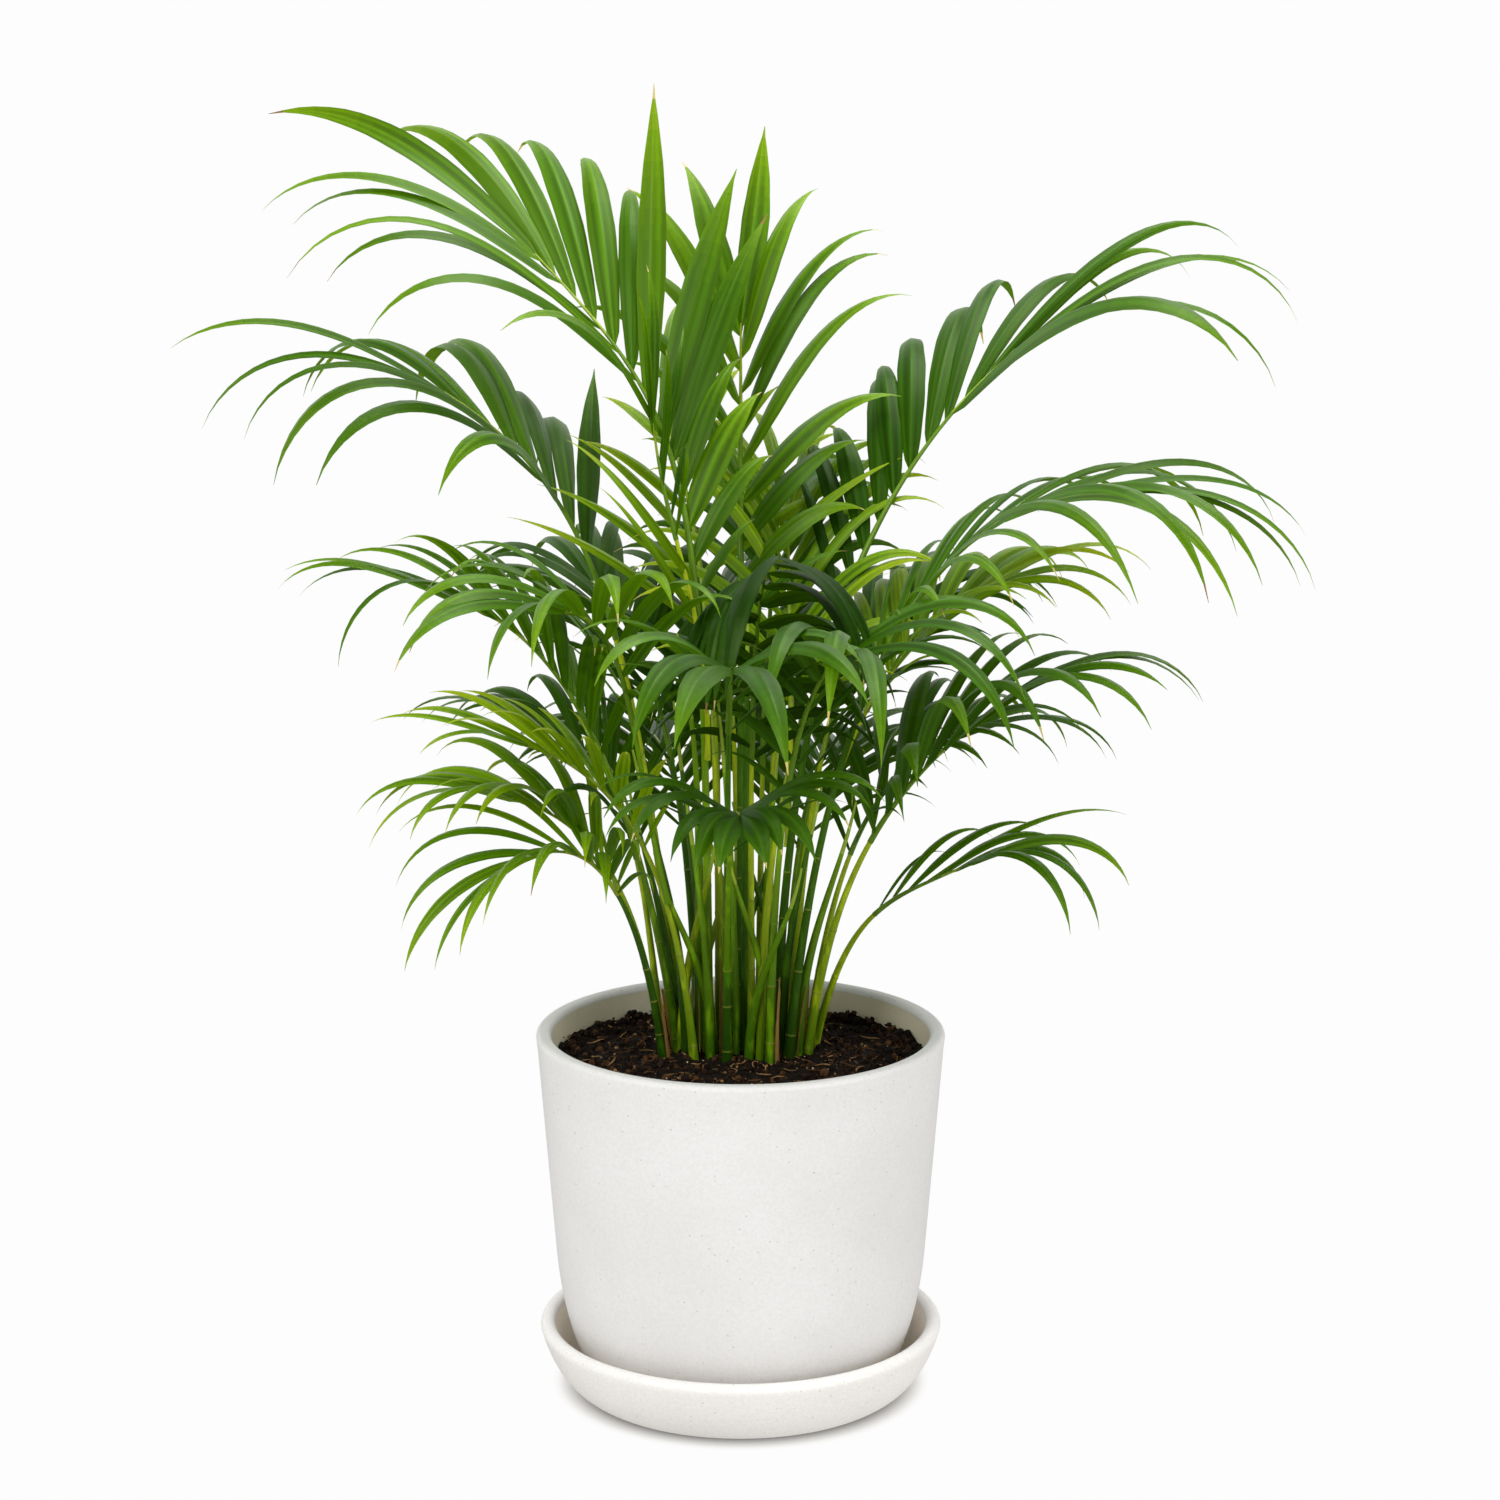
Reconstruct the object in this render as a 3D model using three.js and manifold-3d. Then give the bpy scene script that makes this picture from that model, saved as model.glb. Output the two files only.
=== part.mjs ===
// A potted areca palm: a clump of canes with arching fronds, in a tapered stoneware pot on a saucer.
// Millimetres, +Z up. The origin is the centre of the saucer's flat underside, and -Y is the front.

import * as THREE from 'three';
import { mergeVertices } from 'three/addons/utils/BufferGeometryUtils.js';
import Module from 'manifold-3d';

const wasm = await Module();
wasm.setup();

// Driving dimensions
const FIT_GAP = 0.3;

const SAUCER = {
  height: 51,
  rimRadius: 149,
  footRadius: 119,
  wall: 11,
  floor: 10,
  bulgeRadius: 139,
  bulgeHeight: 10,
};

const POT = {
  height: 261,
  rimRadius: 150,
  wall: 11,
  floor: 14,
  taper: 0.0795,
  rimRound: 4,
  footDrop: 26.6,
  footRise: 95,
};

const SOIL_TOP = 249;
const POT_BASE = SAUCER.floor + FIT_GAP;
const POT_RIM = POT_BASE + POT.height;
const LATHE_SIDES = 36;

const CANE_SIDES = 6;
const CANE_STEPS = 4;
const RIB_SIDES = 3;
const RIB_STEPS = 6;
const RIB_TIP_RADIUS = 0.8;
const PETIOLE_SPLAY = 0.12;
const SEAT_STEP = 0.1;
const LEAF_STEPS = 10;
const LEAF_STATIONS = [0, 3, 7, 10];
const LARGEST_LEAF = 235;
const LEAF_WIDTH = 0.09;
const LEAF_THICKNESS = 0.0115;
const LEAF_CLEARANCE = 0.3;
const SMALLEST_EDGE = 0.02;

// Each frond rises from its foot on the soil, or from the cane named in "on" at the height "at", to the
// tip of its rib. lean and fall are the rib's angles from the vertical at its foot and tip, rise and
// reach say how far each of them carries, and bare is the share of the stalk below the leaflets.
// turn is the side of the cane, in degrees, on which a petiole leaves it. Of the leaflets, leaf is the
// length, open the angle from the rib at its foot and tip, sweep what the left side opens more than the
// right, vee the lift of both sides, roll the blade's twist, droop how far they bend down, and
// clearLeft and clearRight the leaflets that the foot of the blade lacks on a side.
const FRONDS = [
  { name: 'crown_left', foot: [-24, 14], tip: [-150, 95, 830], lean: 0, fall: 42, rise: 0.62, reach: 0.3,
    bare: 0.52, pairs: 13, leaf: 235, open: [44, 8], sweep: 8, roll: 14, droop: 1.45 },
  { name: 'upper_left', foot: [-42, 42], tip: [-225, 85, 745], lean: 6, fall: 60, bare: 0.58,
    pairs: 10, leaf: 215, vee: 20, roll: 8, droop: 2, clearLeft: 3 },
  { name: 'crown_back', foot: [0, 34], tip: [0, 150, 775], lean: 0, fall: 26, bare: 0.56,
    pairs: 10, leaf: 185, open: [42, 10], vee: 32, droop: 1.8 },
  { name: 'crown_spear', on: 'crown_left', at: 470, turn: -60, tip: [-62, 12, 715], fall: 5, bare: 0.66,
    pairs: 5, leaf: 235, open: [34, 6], vee: 40, droop: 0.4 },
  { name: 'crown_right', foot: [26, 24], tip: [198, 115, 760], lean: 2, fall: 52, bare: 0.58,
    pairs: 11, leaf: 225, open: [46, 10], roll: -6, droop: 1.8, clearRight: 7 },
  { name: 'upper_right', foot: [35, 4], tip: [230, -30, 675], lean: 5, fall: 76, reach: 0.28, bare: 0.6,
    pairs: 11, leaf: 200, open: [45, 14], vee: 10, roll: -8 },
  { name: 'middle_right', foot: [49, 16], tip: [165, -20, 500], lean: 10, fall: 60, bare: 0.6,
    pairs: 8, leaf: 185, roll: -8 },
  { name: 'low_right', foot: [54, 30], tip: [165, -30, 418], lean: 13, fall: 80, bare: 0.58,
    pairs: 7, leaf: 130, droop: 2.3, clearRight: 2 },
  { name: 'middle_left', foot: [-46, 24], tip: [-175, -20, 592], lean: 4, fall: 62, bare: 0.56,
    pairs: 10, leaf: 155 },
  { name: 'lower_left', foot: [-34, -4], tip: [-150, -60, 495], lean: 5, fall: 70, bare: 0.58,
    pairs: 8, leaf: 120, droop: 1.3 },
  { name: 'low_left', foot: [-57, 6], tip: [-145, -60, 415], lean: 8, fall: 100, bare: 0.62,
    pairs: 8, leaf: 130, roll: 12, clearRight: 1 },
  { name: 'low_left_inner', on: 'low_left', at: 300, turn: 90, tip: [-160, -15, 445], fall: 72, bare: 0.45,
    pairs: 8, leaf: 130 },
  { name: 'front_upper', foot: [8, 8], tip: [25, -95, 640], lean: 0, fall: 75, bare: 0.64,
    pairs: 8, leaf: 145, droop: 1.8 },
  { name: 'front_middle', foot: [-10, -4], tip: [-5, -230, 580], lean: 0, fall: 82, bare: 0.66,
    pairs: 8, leaf: 160 },
  { name: 'front_low', on: 'front_middle', at: 320, turn: -90, tip: [0, -200, 475], fall: 85, bare: 0.55,
    pairs: 8, leaf: 140 },
  { name: 'front_right', foot: [22, -10], tip: [80, -165, 580], lean: 0, fall: 80, bare: 0.62,
    pairs: 8, leaf: 190, droop: 2 },
  { name: 'front_left', on: 'lower_left', at: 370, turn: -60, tip: [-120, -120, 600], fall: 80, bare: 0.52,
    pairs: 8, leaf: 160 },
  { name: 'inner_right', on: 'upper_right', at: 420, turn: 90, tip: [165, 50, 580], fall: 60, bare: 0.45,
    pairs: 8, leaf: 155 },
  { name: 'inner_back', on: 'crown_right', at: 400, turn: 120, tip: [35, 120, 640], fall: 45, bare: 0.45,
    pairs: 8, leaf: 155, vee: 35 },
  { name: 'back_upper_left', foot: [-16, 52], tip: [-60, 190, 700], lean: 0, fall: 62, bare: 0.55,
    pairs: 10, leaf: 190 },
  { name: 'back_upper_right', foot: [14, 54], tip: [35, 210, 640], lean: 0, fall: 70, bare: 0.55,
    pairs: 10, leaf: 175 },
  { name: 'back_middle', on: 'back_upper_left', at: 360, turn: 90, tip: [-20, 225, 560], fall: 80, bare: 0.5,
    pairs: 8, leaf: 170 },
  { name: 'back_right', foot: [34, 46], tip: [125, 160, 560], lean: 4, fall: 70, bare: 0.55,
    pairs: 8, leaf: 165 },
  { name: 'back_left', foot: [-32, 62], tip: [-115, 185, 575], lean: 4, fall: 70, bare: 0.55,
    pairs: 8, leaf: 165 },
  { name: 'back_low_right', on: 'back_right', at: 310, turn: 110, tip: [70, 200, 440], fall: 90, bare: 0.5,
    pairs: 8, leaf: 140 },
  { name: 'back_low_left', on: 'back_left', at: 320, turn: 70, tip: [-70, 215, 450], fall: 90, bare: 0.5,
    pairs: 8, leaf: 140 },
  { name: 'side_low_right', foot: [50, 42], tip: [160, 90, 470], lean: 8, fall: 75, bare: 0.55,
    pairs: 8, leaf: 140 },
  { name: 'side_low_left', foot: [-58, 38], tip: [-140, 85, 475], lean: 8, fall: 72, bare: 0.55,
    pairs: 8, leaf: 130 },
];

const FROND_DEFAULTS = {
  rise: 0.45,
  reach: 0.33,
  open: [48, 12],
  sweep: 0,
  vee: 28,
  roll: 0,
  droop: 1.6,
  clearLeft: 0,
  clearRight: 0,
};

// Colours and finishes
const MATERIALS = {
  stoneware: new THREE.MeshStandardMaterial({ color: 0xe9e6e0, roughness: 0.75, metalness: 0 }),
  soil: new THREE.MeshStandardMaterial({ color: 0x22150c, roughness: 0.95, metalness: 0 }),
  cane: new THREE.MeshStandardMaterial({ color: 0x6f8f2c, roughness: 0.45, metalness: 0 }),
  leaf: new THREE.MeshStandardMaterial({ color: 0x3f7a22, roughness: 0.4, metalness: 0 }),
};

const UP = new THREE.Vector3(0, 0, 1);
const rad = THREE.MathUtils.degToRad;

// A repeatable number from -1 to 1 for leaflet j of frond i
function vary(i, j) {
  const v = Math.sin(i * 12.9898 + j * 78.233) * 43758.5453;
  return 2 * (v - Math.floor(v)) - 1;
}

function tilted(azimuth, angle) {
  return new THREE.Vector3(
    Math.sin(angle) * Math.cos(azimuth),
    Math.sin(angle) * Math.sin(azimuth),
    Math.cos(angle),
  );
}

// Solids and meshes. Faces that have shrunk to a line, at a leaflet's pointed root, are dropped.
function toSolid(geometry) {
  const bare = geometry.clone();
  bare.deleteAttribute('normal');
  bare.deleteAttribute('uv');
  const merged = mergeVertices(bare, 1e-4);
  const corners = merged.index.array;
  const faces = [];
  for (let i = 0; i < corners.length; i += 3) {
    const [a, b, c] = corners.slice(i, i + 3);
    if (a !== b && b !== c && c !== a) faces.push(a, b, c);
  }
  const mesh = new wasm.Mesh({
    numProp: 3,
    vertProperties: merged.attributes.position.array,
    triVerts: new Uint32Array(faces),
  });
  return new wasm.Manifold(mesh);
}

function toGeometry(solid) {
  const mesh = solid.getMesh();
  const geometry = new THREE.BufferGeometry();
  geometry.setAttribute('position', new THREE.BufferAttribute(mesh.vertProperties, 3));
  geometry.setIndex(new THREE.BufferAttribute(mesh.triVerts, 1));
  geometry.computeVertexNormals();
  return geometry;
}

// Bends a unit cylinder or cone: place(t, x, y) gives the point at the share t of its length
// for the corner (x, y) of its section.
function bend(geometry, place) {
  const position = geometry.attributes.position;
  for (let i = 0; i < position.count; i += 1) {
    const across = position.getX(i);
    const along = position.getZ(i);
    const radius = Math.hypot(across, along);
    const t = THREE.MathUtils.clamp(position.getY(i) + 0.5, 0, 1);
    const [x, y] = radius > 1e-6 ? [across / radius, along / radius] : [0, 0];
    const point = place(t, x, y);
    position.setXYZ(i, point.x, point.y, point.z);
  }
  return geometry;
}

function lathe(points) {
  const geometry = new THREE.LatheGeometry(points, LATHE_SIDES);
  return geometry.rotateX(Math.PI / 2);
}

function arc(x, y, radius, from, to, steps) {
  const points = [];
  for (let i = 0; i <= steps; i += 1) {
    const a = rad(from + ((to - from) * i) / steps);
    points.push(new THREE.Vector2(x + radius * Math.cos(a), y + radius * Math.sin(a)));
  }
  return points;
}

// Pot and saucer
function potRadius(z) {
  const straight = POT.rimRadius - POT.taper * (POT_RIM - z);
  const below = (POT_BASE + POT.footRise - z) / POT.footRise;
  if (below <= 0) return straight;
  return straight - POT.footDrop * (1 - Math.sqrt(Math.max(0, 1 - below * below)));
}

function wallPoints(from, to, steps, inset) {
  const points = [];
  for (let i = 0; i <= steps; i += 1) {
    const z = from + ((to - from) * i) / steps;
    points.push(new THREE.Vector2(potRadius(z) - inset, z));
  }
  return points;
}

function pot() {
  const round = POT.rimRound;
  const shoulder = POT_RIM - round;
  const innerFloor = POT_BASE + POT.floor;
  return lathe([
    new THREE.Vector2(0, POT_BASE),
    ...wallPoints(POT_BASE, POT_BASE + POT.footRise, 7, 0),
    ...arc(POT.rimRadius - round, shoulder, round, 0, 90, 3),
    ...arc(POT.rimRadius - POT.wall + round, shoulder, round, 90, 180, 3),
    ...wallPoints(POT_BASE + POT.footRise, innerFloor, 4, POT.wall),
    new THREE.Vector2(0, innerFloor),
  ]);
}

function saucer() {
  const round = SAUCER.wall / 2;
  const shoulder = SAUCER.height - round;
  const foot = new THREE.Vector2(SAUCER.footRadius, 0);
  const bulge = new THREE.Vector2(SAUCER.bulgeRadius, SAUCER.bulgeHeight);
  const rim = new THREE.Vector2(SAUCER.rimRadius, shoulder);
  const outside = new THREE.QuadraticBezierCurve(foot, bulge, rim).getPoints(6);
  const inside = new THREE.QuadraticBezierCurve(
    new THREE.Vector2(SAUCER.rimRadius - SAUCER.wall, shoulder),
    new THREE.Vector2(SAUCER.bulgeRadius - SAUCER.wall, SAUCER.bulgeHeight + SAUCER.floor),
    new THREE.Vector2(SAUCER.footRadius, SAUCER.floor),
  ).getPoints(5);
  return lathe([
    new THREE.Vector2(0, 0),
    ...outside,
    ...arc(SAUCER.rimRadius - round, shoulder, round, 30, 150, 4),
    ...inside,
    new THREE.Vector2(0, SAUCER.floor),
  ]);
}

function soil() {
  const base = POT_BASE + POT.floor + FIT_GAP;
  const inset = POT.wall + FIT_GAP;
  return lathe([
    new THREE.Vector2(0, base),
    ...wallPoints(base, POT_BASE + POT.footRise, 4, inset),
    new THREE.Vector2(potRadius(SOIL_TOP) - inset, SOIL_TOP),
    new THREE.Vector2(0, SOIL_TOP),
  ]);
}

// Stalks: a cane or petiole, and above it the rib that carries the leaflets
function stalkRadii(frond) {
  const size = frond.leaf / LARGEST_LEAF;
  const foot = frond.on ? 1.9 + 1.6 * size : 3.2 + 1.9 * size;
  return { foot, blade: 1.5 + 1.5 * size, tip: RIB_TIP_RADIUS };
}

function stalkRadius(frond, s) {
  const { foot, blade, tip } = frond.radii;
  if (s < frond.bare) return THREE.MathUtils.lerp(foot, blade, s / frond.bare);
  return THREE.MathUtils.lerp(blade, tip, (s - frond.bare) / (1 - frond.bare));
}

function pointAtHeight(curve, height) {
  let low = 0;
  let high = 1;
  for (let i = 0; i < 30; i += 1) {
    const middle = (low + high) / 2;
    if (curve.getPoint(middle).z < height) low = middle;
    else high = middle;
  }
  return { point: curve.getPoint(low), tangent: curve.getTangent(low) };
}

// offset is the distance between the axes of a petiole's foot and the cane that carries it
function stalkStart(frond, byName, offset) {
  const tip = new THREE.Vector3(...frond.tip);
  if (!frond.on) {
    const point = new THREE.Vector3(frond.foot[0], frond.foot[1], SOIL_TOP + FIT_GAP);
    const azimuth = Math.atan2(tip.y - point.y, tip.x - point.x);
    return { point, direction: tilted(azimuth, rad(frond.lean)) };
  }
  const { point, tangent } = pointAtHeight(byName.get(frond.on).curve, frond.at);
  const away = tilted(rad(frond.turn), Math.PI / 2);
  away.addScaledVector(tangent, -away.dot(tangent)).normalize();
  point.addScaledVector(away, offset);
  return { point, direction: tangent.addScaledVector(away, PETIOLE_SPLAY).normalize() };
}

function stalkCurve(frond, byName, offset) {
  const tip = new THREE.Vector3(...frond.tip);
  const { point, direction } = stalkStart(frond, byName, offset);
  const span = tip.distanceTo(point);
  const azimuth = Math.atan2(tip.y - point.y, tip.x - point.x);
  const shoulder = point.clone().addScaledVector(direction, span * frond.rise);
  const neck = tip.clone().addScaledVector(tilted(azimuth, rad(frond.fall)), -span * frond.reach);
  return new THREE.CubicBezierCurve3(point, shoulder, neck, tip);
}

// The frame of a stalk at the share s of its length: its tangent, its right side and its upper side
function stalkFrame(frond, s) {
  const tangent = frond.curve.getTangentAt(s);
  const right = frond.side.clone().addScaledVector(tangent, -frond.side.dot(tangent)).normalize();
  return { tangent, right, upper: new THREE.Vector3().crossVectors(right, tangent) };
}

function limb(frond, from, to, sides, steps, flatFoot) {
  const geometry = new THREE.CylinderGeometry(1, 1, 1, sides, steps);
  return bend(geometry, (t, x, y) => {
    const s = THREE.MathUtils.lerp(from, to, t);
    const radius = stalkRadius(frond, s);
    const { right, upper } = stalkFrame(frond, s);
    const point = frond.curve.getPointAt(s);
    point.addScaledVector(right, x * radius).addScaledVector(upper, y * radius);
    if (flatFoot && t === 0) point.z = SOIL_TOP + FIT_GAP;
    return point;
  });
}

function cane(frond) {
  const top = frond.bare - FIT_GAP / frond.curve.getLength();
  return limb(frond, 0, top, CANE_SIDES, CANE_STEPS, !frond.on);
}

function rib(frond) {
  return limb(frond, frond.bare, 1, RIB_SIDES, RIB_STEPS, false);
}

// Lays out a frond's stalk. A petiole is moved out from its cane until it stands clear of it.
function layStalk(frond, byName) {
  let offset = frond.radii.foot;
  do {
    frond.curve = stalkCurve(frond, byName, offset);
    const { v0: foot, v3: tip } = frond.curve;
    frond.side = new THREE.Vector3(tip.y - foot.y, foot.x - tip.x, 0).normalize();
    frond.stalk = cane(frond);
    frond.stalkSolid = toSolid(frond.stalk);
    offset += SEAT_STEP;
  } while (frond.on && byName.get(frond.on).stalkSolid.minGap(frond.stalkSolid, 1) < FIT_GAP);
}

// Leaflets: each leaves the rib at an angle that closes towards the tip, lifted into a V, and then
// droops under its own weight. shift turns it a little so that it clears its neighbours.
function leafletRule(frond, index, pair, side, shift) {
  const right = side > 0 ? 1 : 0;
  const share = (pair + 0.35 * right) / (frond.pairs - 0.65);
  const s = Math.min(frond.bare + (1 - frond.bare) * share ** 0.95, 0.995);
  const number = pair * 2 + right;
  const { tangent, right: sideways, upper } = stalkFrame(frond, s);
  const [openFoot, openTip] = frond.open;
  const spread = openFoot + (openTip - openFoot) * share ** 1.7 - side * frond.sweep;
  const open = rad(spread + 4 * vary(index, number) + shift.open);
  const lift = rad(frond.vee + side * frond.roll + 6 * vary(index, number + 40) + shift.lift);
  const direction = tangent.clone().multiplyScalar(Math.cos(open));
  direction.addScaledVector(sideways, side * Math.cos(lift) * Math.sin(open));
  direction.addScaledVector(upper, Math.sin(lift) * Math.sin(open));
  const swell = 0.78 + 0.24 * Math.sin(Math.PI * (0.05 + 0.62 * share));
  const length = frond.leaf * swell * (1 + 0.06 * vary(index, number + 80)) * shift.size;
  const limp = 0.5 + 0.6 * Math.sqrt(share) - 0.35 * share ** 6;
  const droop = frond.droop * limp * (1 + 0.15 * vary(index, number + 120));
  const normal = new THREE.Vector3().crossVectors(direction, tangent).multiplyScalar(side).normalize();
  return { root: frond.curve.getPointAt(s), direction, normal, length, droop };
}

// The leaflet's midrib, with the direction of its width and of its upper face at each step
function leafletPath({ root, direction, normal, length, droop }) {
  const heading = direction.clone();
  const face = normal.clone();
  const point = root.clone();
  const path = [];
  const step = 1 / LEAF_STEPS;
  for (let i = 0; i <= LEAF_STEPS; i += 1) {
    const across = new THREE.Vector3().crossVectors(heading, face).normalize();
    path.push({ point: point.clone(), across, face: new THREE.Vector3().crossVectors(across, heading) });
    const t = (i + 0.5) * step;
    heading.addScaledVector(UP, -droop * (0.25 + 1.5 * t) * step).normalize();
    face.addScaledVector(UP, 0.12).addScaledVector(heading, -face.dot(heading)).normalize();
    point.addScaledVector(heading, length * step);
  }
  return path;
}

// The leaflet's width as a share of its widest: a pointed root, widest at a third, and a long point
function leafWidth(t) {
  return Math.sin(Math.PI * t ** 0.62) ** 0.8;
}

// Two triangles between four corners of a surface, split along the diagonal that bulges outwards, so
// that a twisted side doesn't cut through the side behind it
function splitOutwards(corners, a, b, c, d) {
  const [pa, pb, pc, pd] = [a, b, c, d].map((i) => corners[i]);
  const outward = new THREE.Vector3().crossVectors(pb.clone().sub(pa), pc.clone().sub(pa));
  return pd.clone().sub(pa).dot(outward) > 0 ? [a, b, d, b, c, d] : [a, b, c, a, c, d];
}

// A leaflet is three-sided, with a low ridge along its upper face, and ends in a point at its root
function leaflet(frond, index, pair, side, shift) {
  const rule = leafletRule(frond, index, pair, side, shift);
  const path = leafletPath(rule);
  const halfWidth = (frond.leaf * LEAF_WIDTH) / 2;
  const thickness = rule.length * LEAF_THICKNESS;
  const corners = [];
  for (const station of LEAF_STATIONS) {
    const { point, across, face } = path[station];
    const t = station / LEAF_STEPS;
    const width = halfWidth * leafWidth(t);
    const depth = station === 0 ? 0 : thickness * (1 - 0.5 * t);
    corners.push(point.clone().addScaledVector(face, (depth * 2) / 3));
    corners.push(point.clone().addScaledVector(across, -width).addScaledVector(face, -depth / 3));
    corners.push(point.clone().addScaledVector(across, width).addScaledVector(face, -depth / 3));
  }
  const faces = [];
  for (let ring = 0; ring < LEAF_STATIONS.length - 1; ring += 1) {
    for (let k = 0; k < 3; k += 1) {
      const here = ring * 3 + k;
      const next = ring * 3 + ((k + 1) % 3);
      faces.push(...splitOutwards(corners, here, here + 3, next + 3, next));
    }
  }
  const geometry = new THREE.BufferGeometry().setFromPoints(corners);
  geometry.setIndex(faces);
  return toSolid(geometry);
}

// Clearance between the solids of different fronds
const SHIFTS = [
  { open: 0, lift: 0, size: 1 },
  { open: 0, lift: 10, size: 1 },
  { open: 0, lift: -10, size: 1 },
  { open: 10, lift: 0, size: 1 },
  { open: -8, lift: 6, size: 1 },
  { open: 6, lift: 20, size: 0.95 },
  { open: 6, lift: -20, size: 0.95 },
  { open: 18, lift: 12, size: 0.9 },
  { open: -14, lift: -12, size: 0.9 },
  { open: 0, lift: 0, size: 0.7 },
  { open: 10, lift: 15, size: 0.6 },
];

function boxesMeet(a, b) {
  for (let k = 0; k < 3; k += 1) {
    if (a.min[k] > b.max[k] + LEAF_CLEARANCE || b.min[k] > a.max[k] + LEAF_CLEARANCE) return false;
  }
  return true;
}

function isClear(solid, owner, placed) {
  const box = solid.boundingBox();
  for (const other of placed) {
    if (other.owner === owner || !boxesMeet(box, other.box)) continue;
    if (solid.minGap(other.solid, LEAF_CLEARANCE) < LEAF_CLEARANCE) return false;
  }
  return true;
}

function remember(placed, solid, owner) {
  placed.push({ solid, owner, box: solid.boundingBox() });
}

function blade(frond, index, placed) {
  const parts = [frond.ribSolid];
  for (let pair = 0; pair < frond.pairs; pair += 1) {
    for (const side of [-1, 1]) {
      if (pair < (side > 0 ? frond.clearRight : frond.clearLeft)) continue;
      for (const shift of SHIFTS) {
        const solid = leaflet(frond, index, pair, side, shift);
        if (!isClear(solid, frond.name, placed)) continue;
        remember(placed, solid, frond.name);
        parts.push(solid);
        break;
      }
    }
  }
  return wasm.Manifold.union(parts).simplify(SMALLEST_EDGE);
}

// The whole plant
const palm = new THREE.Group();

function addMesh(name, geometry, material) {
  const mesh = new THREE.Mesh(geometry, material);
  mesh.name = name;
  palm.add(mesh);
}

addMesh('saucer', saucer(), MATERIALS.stoneware);
addMesh('pot', pot(), MATERIALS.stoneware);
addMesh('soil', soil(), MATERIALS.soil);

const placed = [];
const byName = new Map();
const fronds = FRONDS.map((frond) => ({ ...FROND_DEFAULTS, ...frond, radii: stalkRadii(frond) }));
for (const frond of fronds) {
  byName.set(frond.name, frond);
  layStalk(frond, byName);
  remember(placed, frond.stalkSolid, `stalk ${frond.name}`);
  frond.ribSolid = toSolid(rib(frond));
  remember(placed, frond.ribSolid, frond.name);
  addMesh(`${frond.on ? 'petiole' : 'cane'}_${frond.name}`, frond.stalk, MATERIALS.cane);
}
fronds.forEach((frond, index) => {
  addMesh(`frond_${frond.name}`, toGeometry(blade(frond, index, placed)), MATERIALS.leaf);
});

export default palm;
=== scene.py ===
"""A potted areca palm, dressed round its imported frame: stoneware pot and saucer, soil, canes and fronds."""

import math

import bpy
import numpy as np
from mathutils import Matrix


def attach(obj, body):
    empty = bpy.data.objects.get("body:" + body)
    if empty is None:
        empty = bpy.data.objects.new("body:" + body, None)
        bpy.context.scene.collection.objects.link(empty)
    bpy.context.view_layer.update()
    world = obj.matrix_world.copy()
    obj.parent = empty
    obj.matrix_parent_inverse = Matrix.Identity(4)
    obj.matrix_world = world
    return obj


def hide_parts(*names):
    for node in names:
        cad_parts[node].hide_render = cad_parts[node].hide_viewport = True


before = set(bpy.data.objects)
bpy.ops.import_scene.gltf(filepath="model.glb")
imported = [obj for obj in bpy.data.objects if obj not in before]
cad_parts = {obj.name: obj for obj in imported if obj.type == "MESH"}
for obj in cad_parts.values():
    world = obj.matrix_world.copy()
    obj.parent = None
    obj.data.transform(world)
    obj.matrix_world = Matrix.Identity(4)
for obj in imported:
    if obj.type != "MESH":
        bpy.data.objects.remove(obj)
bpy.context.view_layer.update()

# Lengths are in millimetres, as in the part's source, and become metres where a mesh is made.
MM = 0.001
UP = np.array([0.0, 0.0, 1.0])
FULL_TURN = 2 * math.pi

SAUCER = dict(height=51, rim=149, foot=119, wall=11, floor=10, bulge=139, bulge_height=10)
POT = dict(height=261, rim=150, wall=11, floor=14, taper=0.0795, round=4, foot_drop=26.6, foot_rise=95)
SOIL_TOP = 249
POT_BASE = 10.3
POT_RIM = POT_BASE + POT["height"]

LARGEST_LEAF = 235
# Leaflets' width as a share of the frond's leaf length
LEAF_WIDTH = 0.094

# A stalk's radius is the first number and, times the size of the frond's leaves, the second
PETIOLE_RADIUS = (1.9, 1.6)
CANE_RADIUS = (3.2, 1.9)
BLADE_RADIUS = (1.5, 1.5)
RIB_TIP_RADIUS = 0.8
PETIOLE_SPLAY = 0.12
PETIOLE_SEAT = 0.6
CANE_DEPTH = 4.0
CURVE_POINTS = 401

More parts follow.
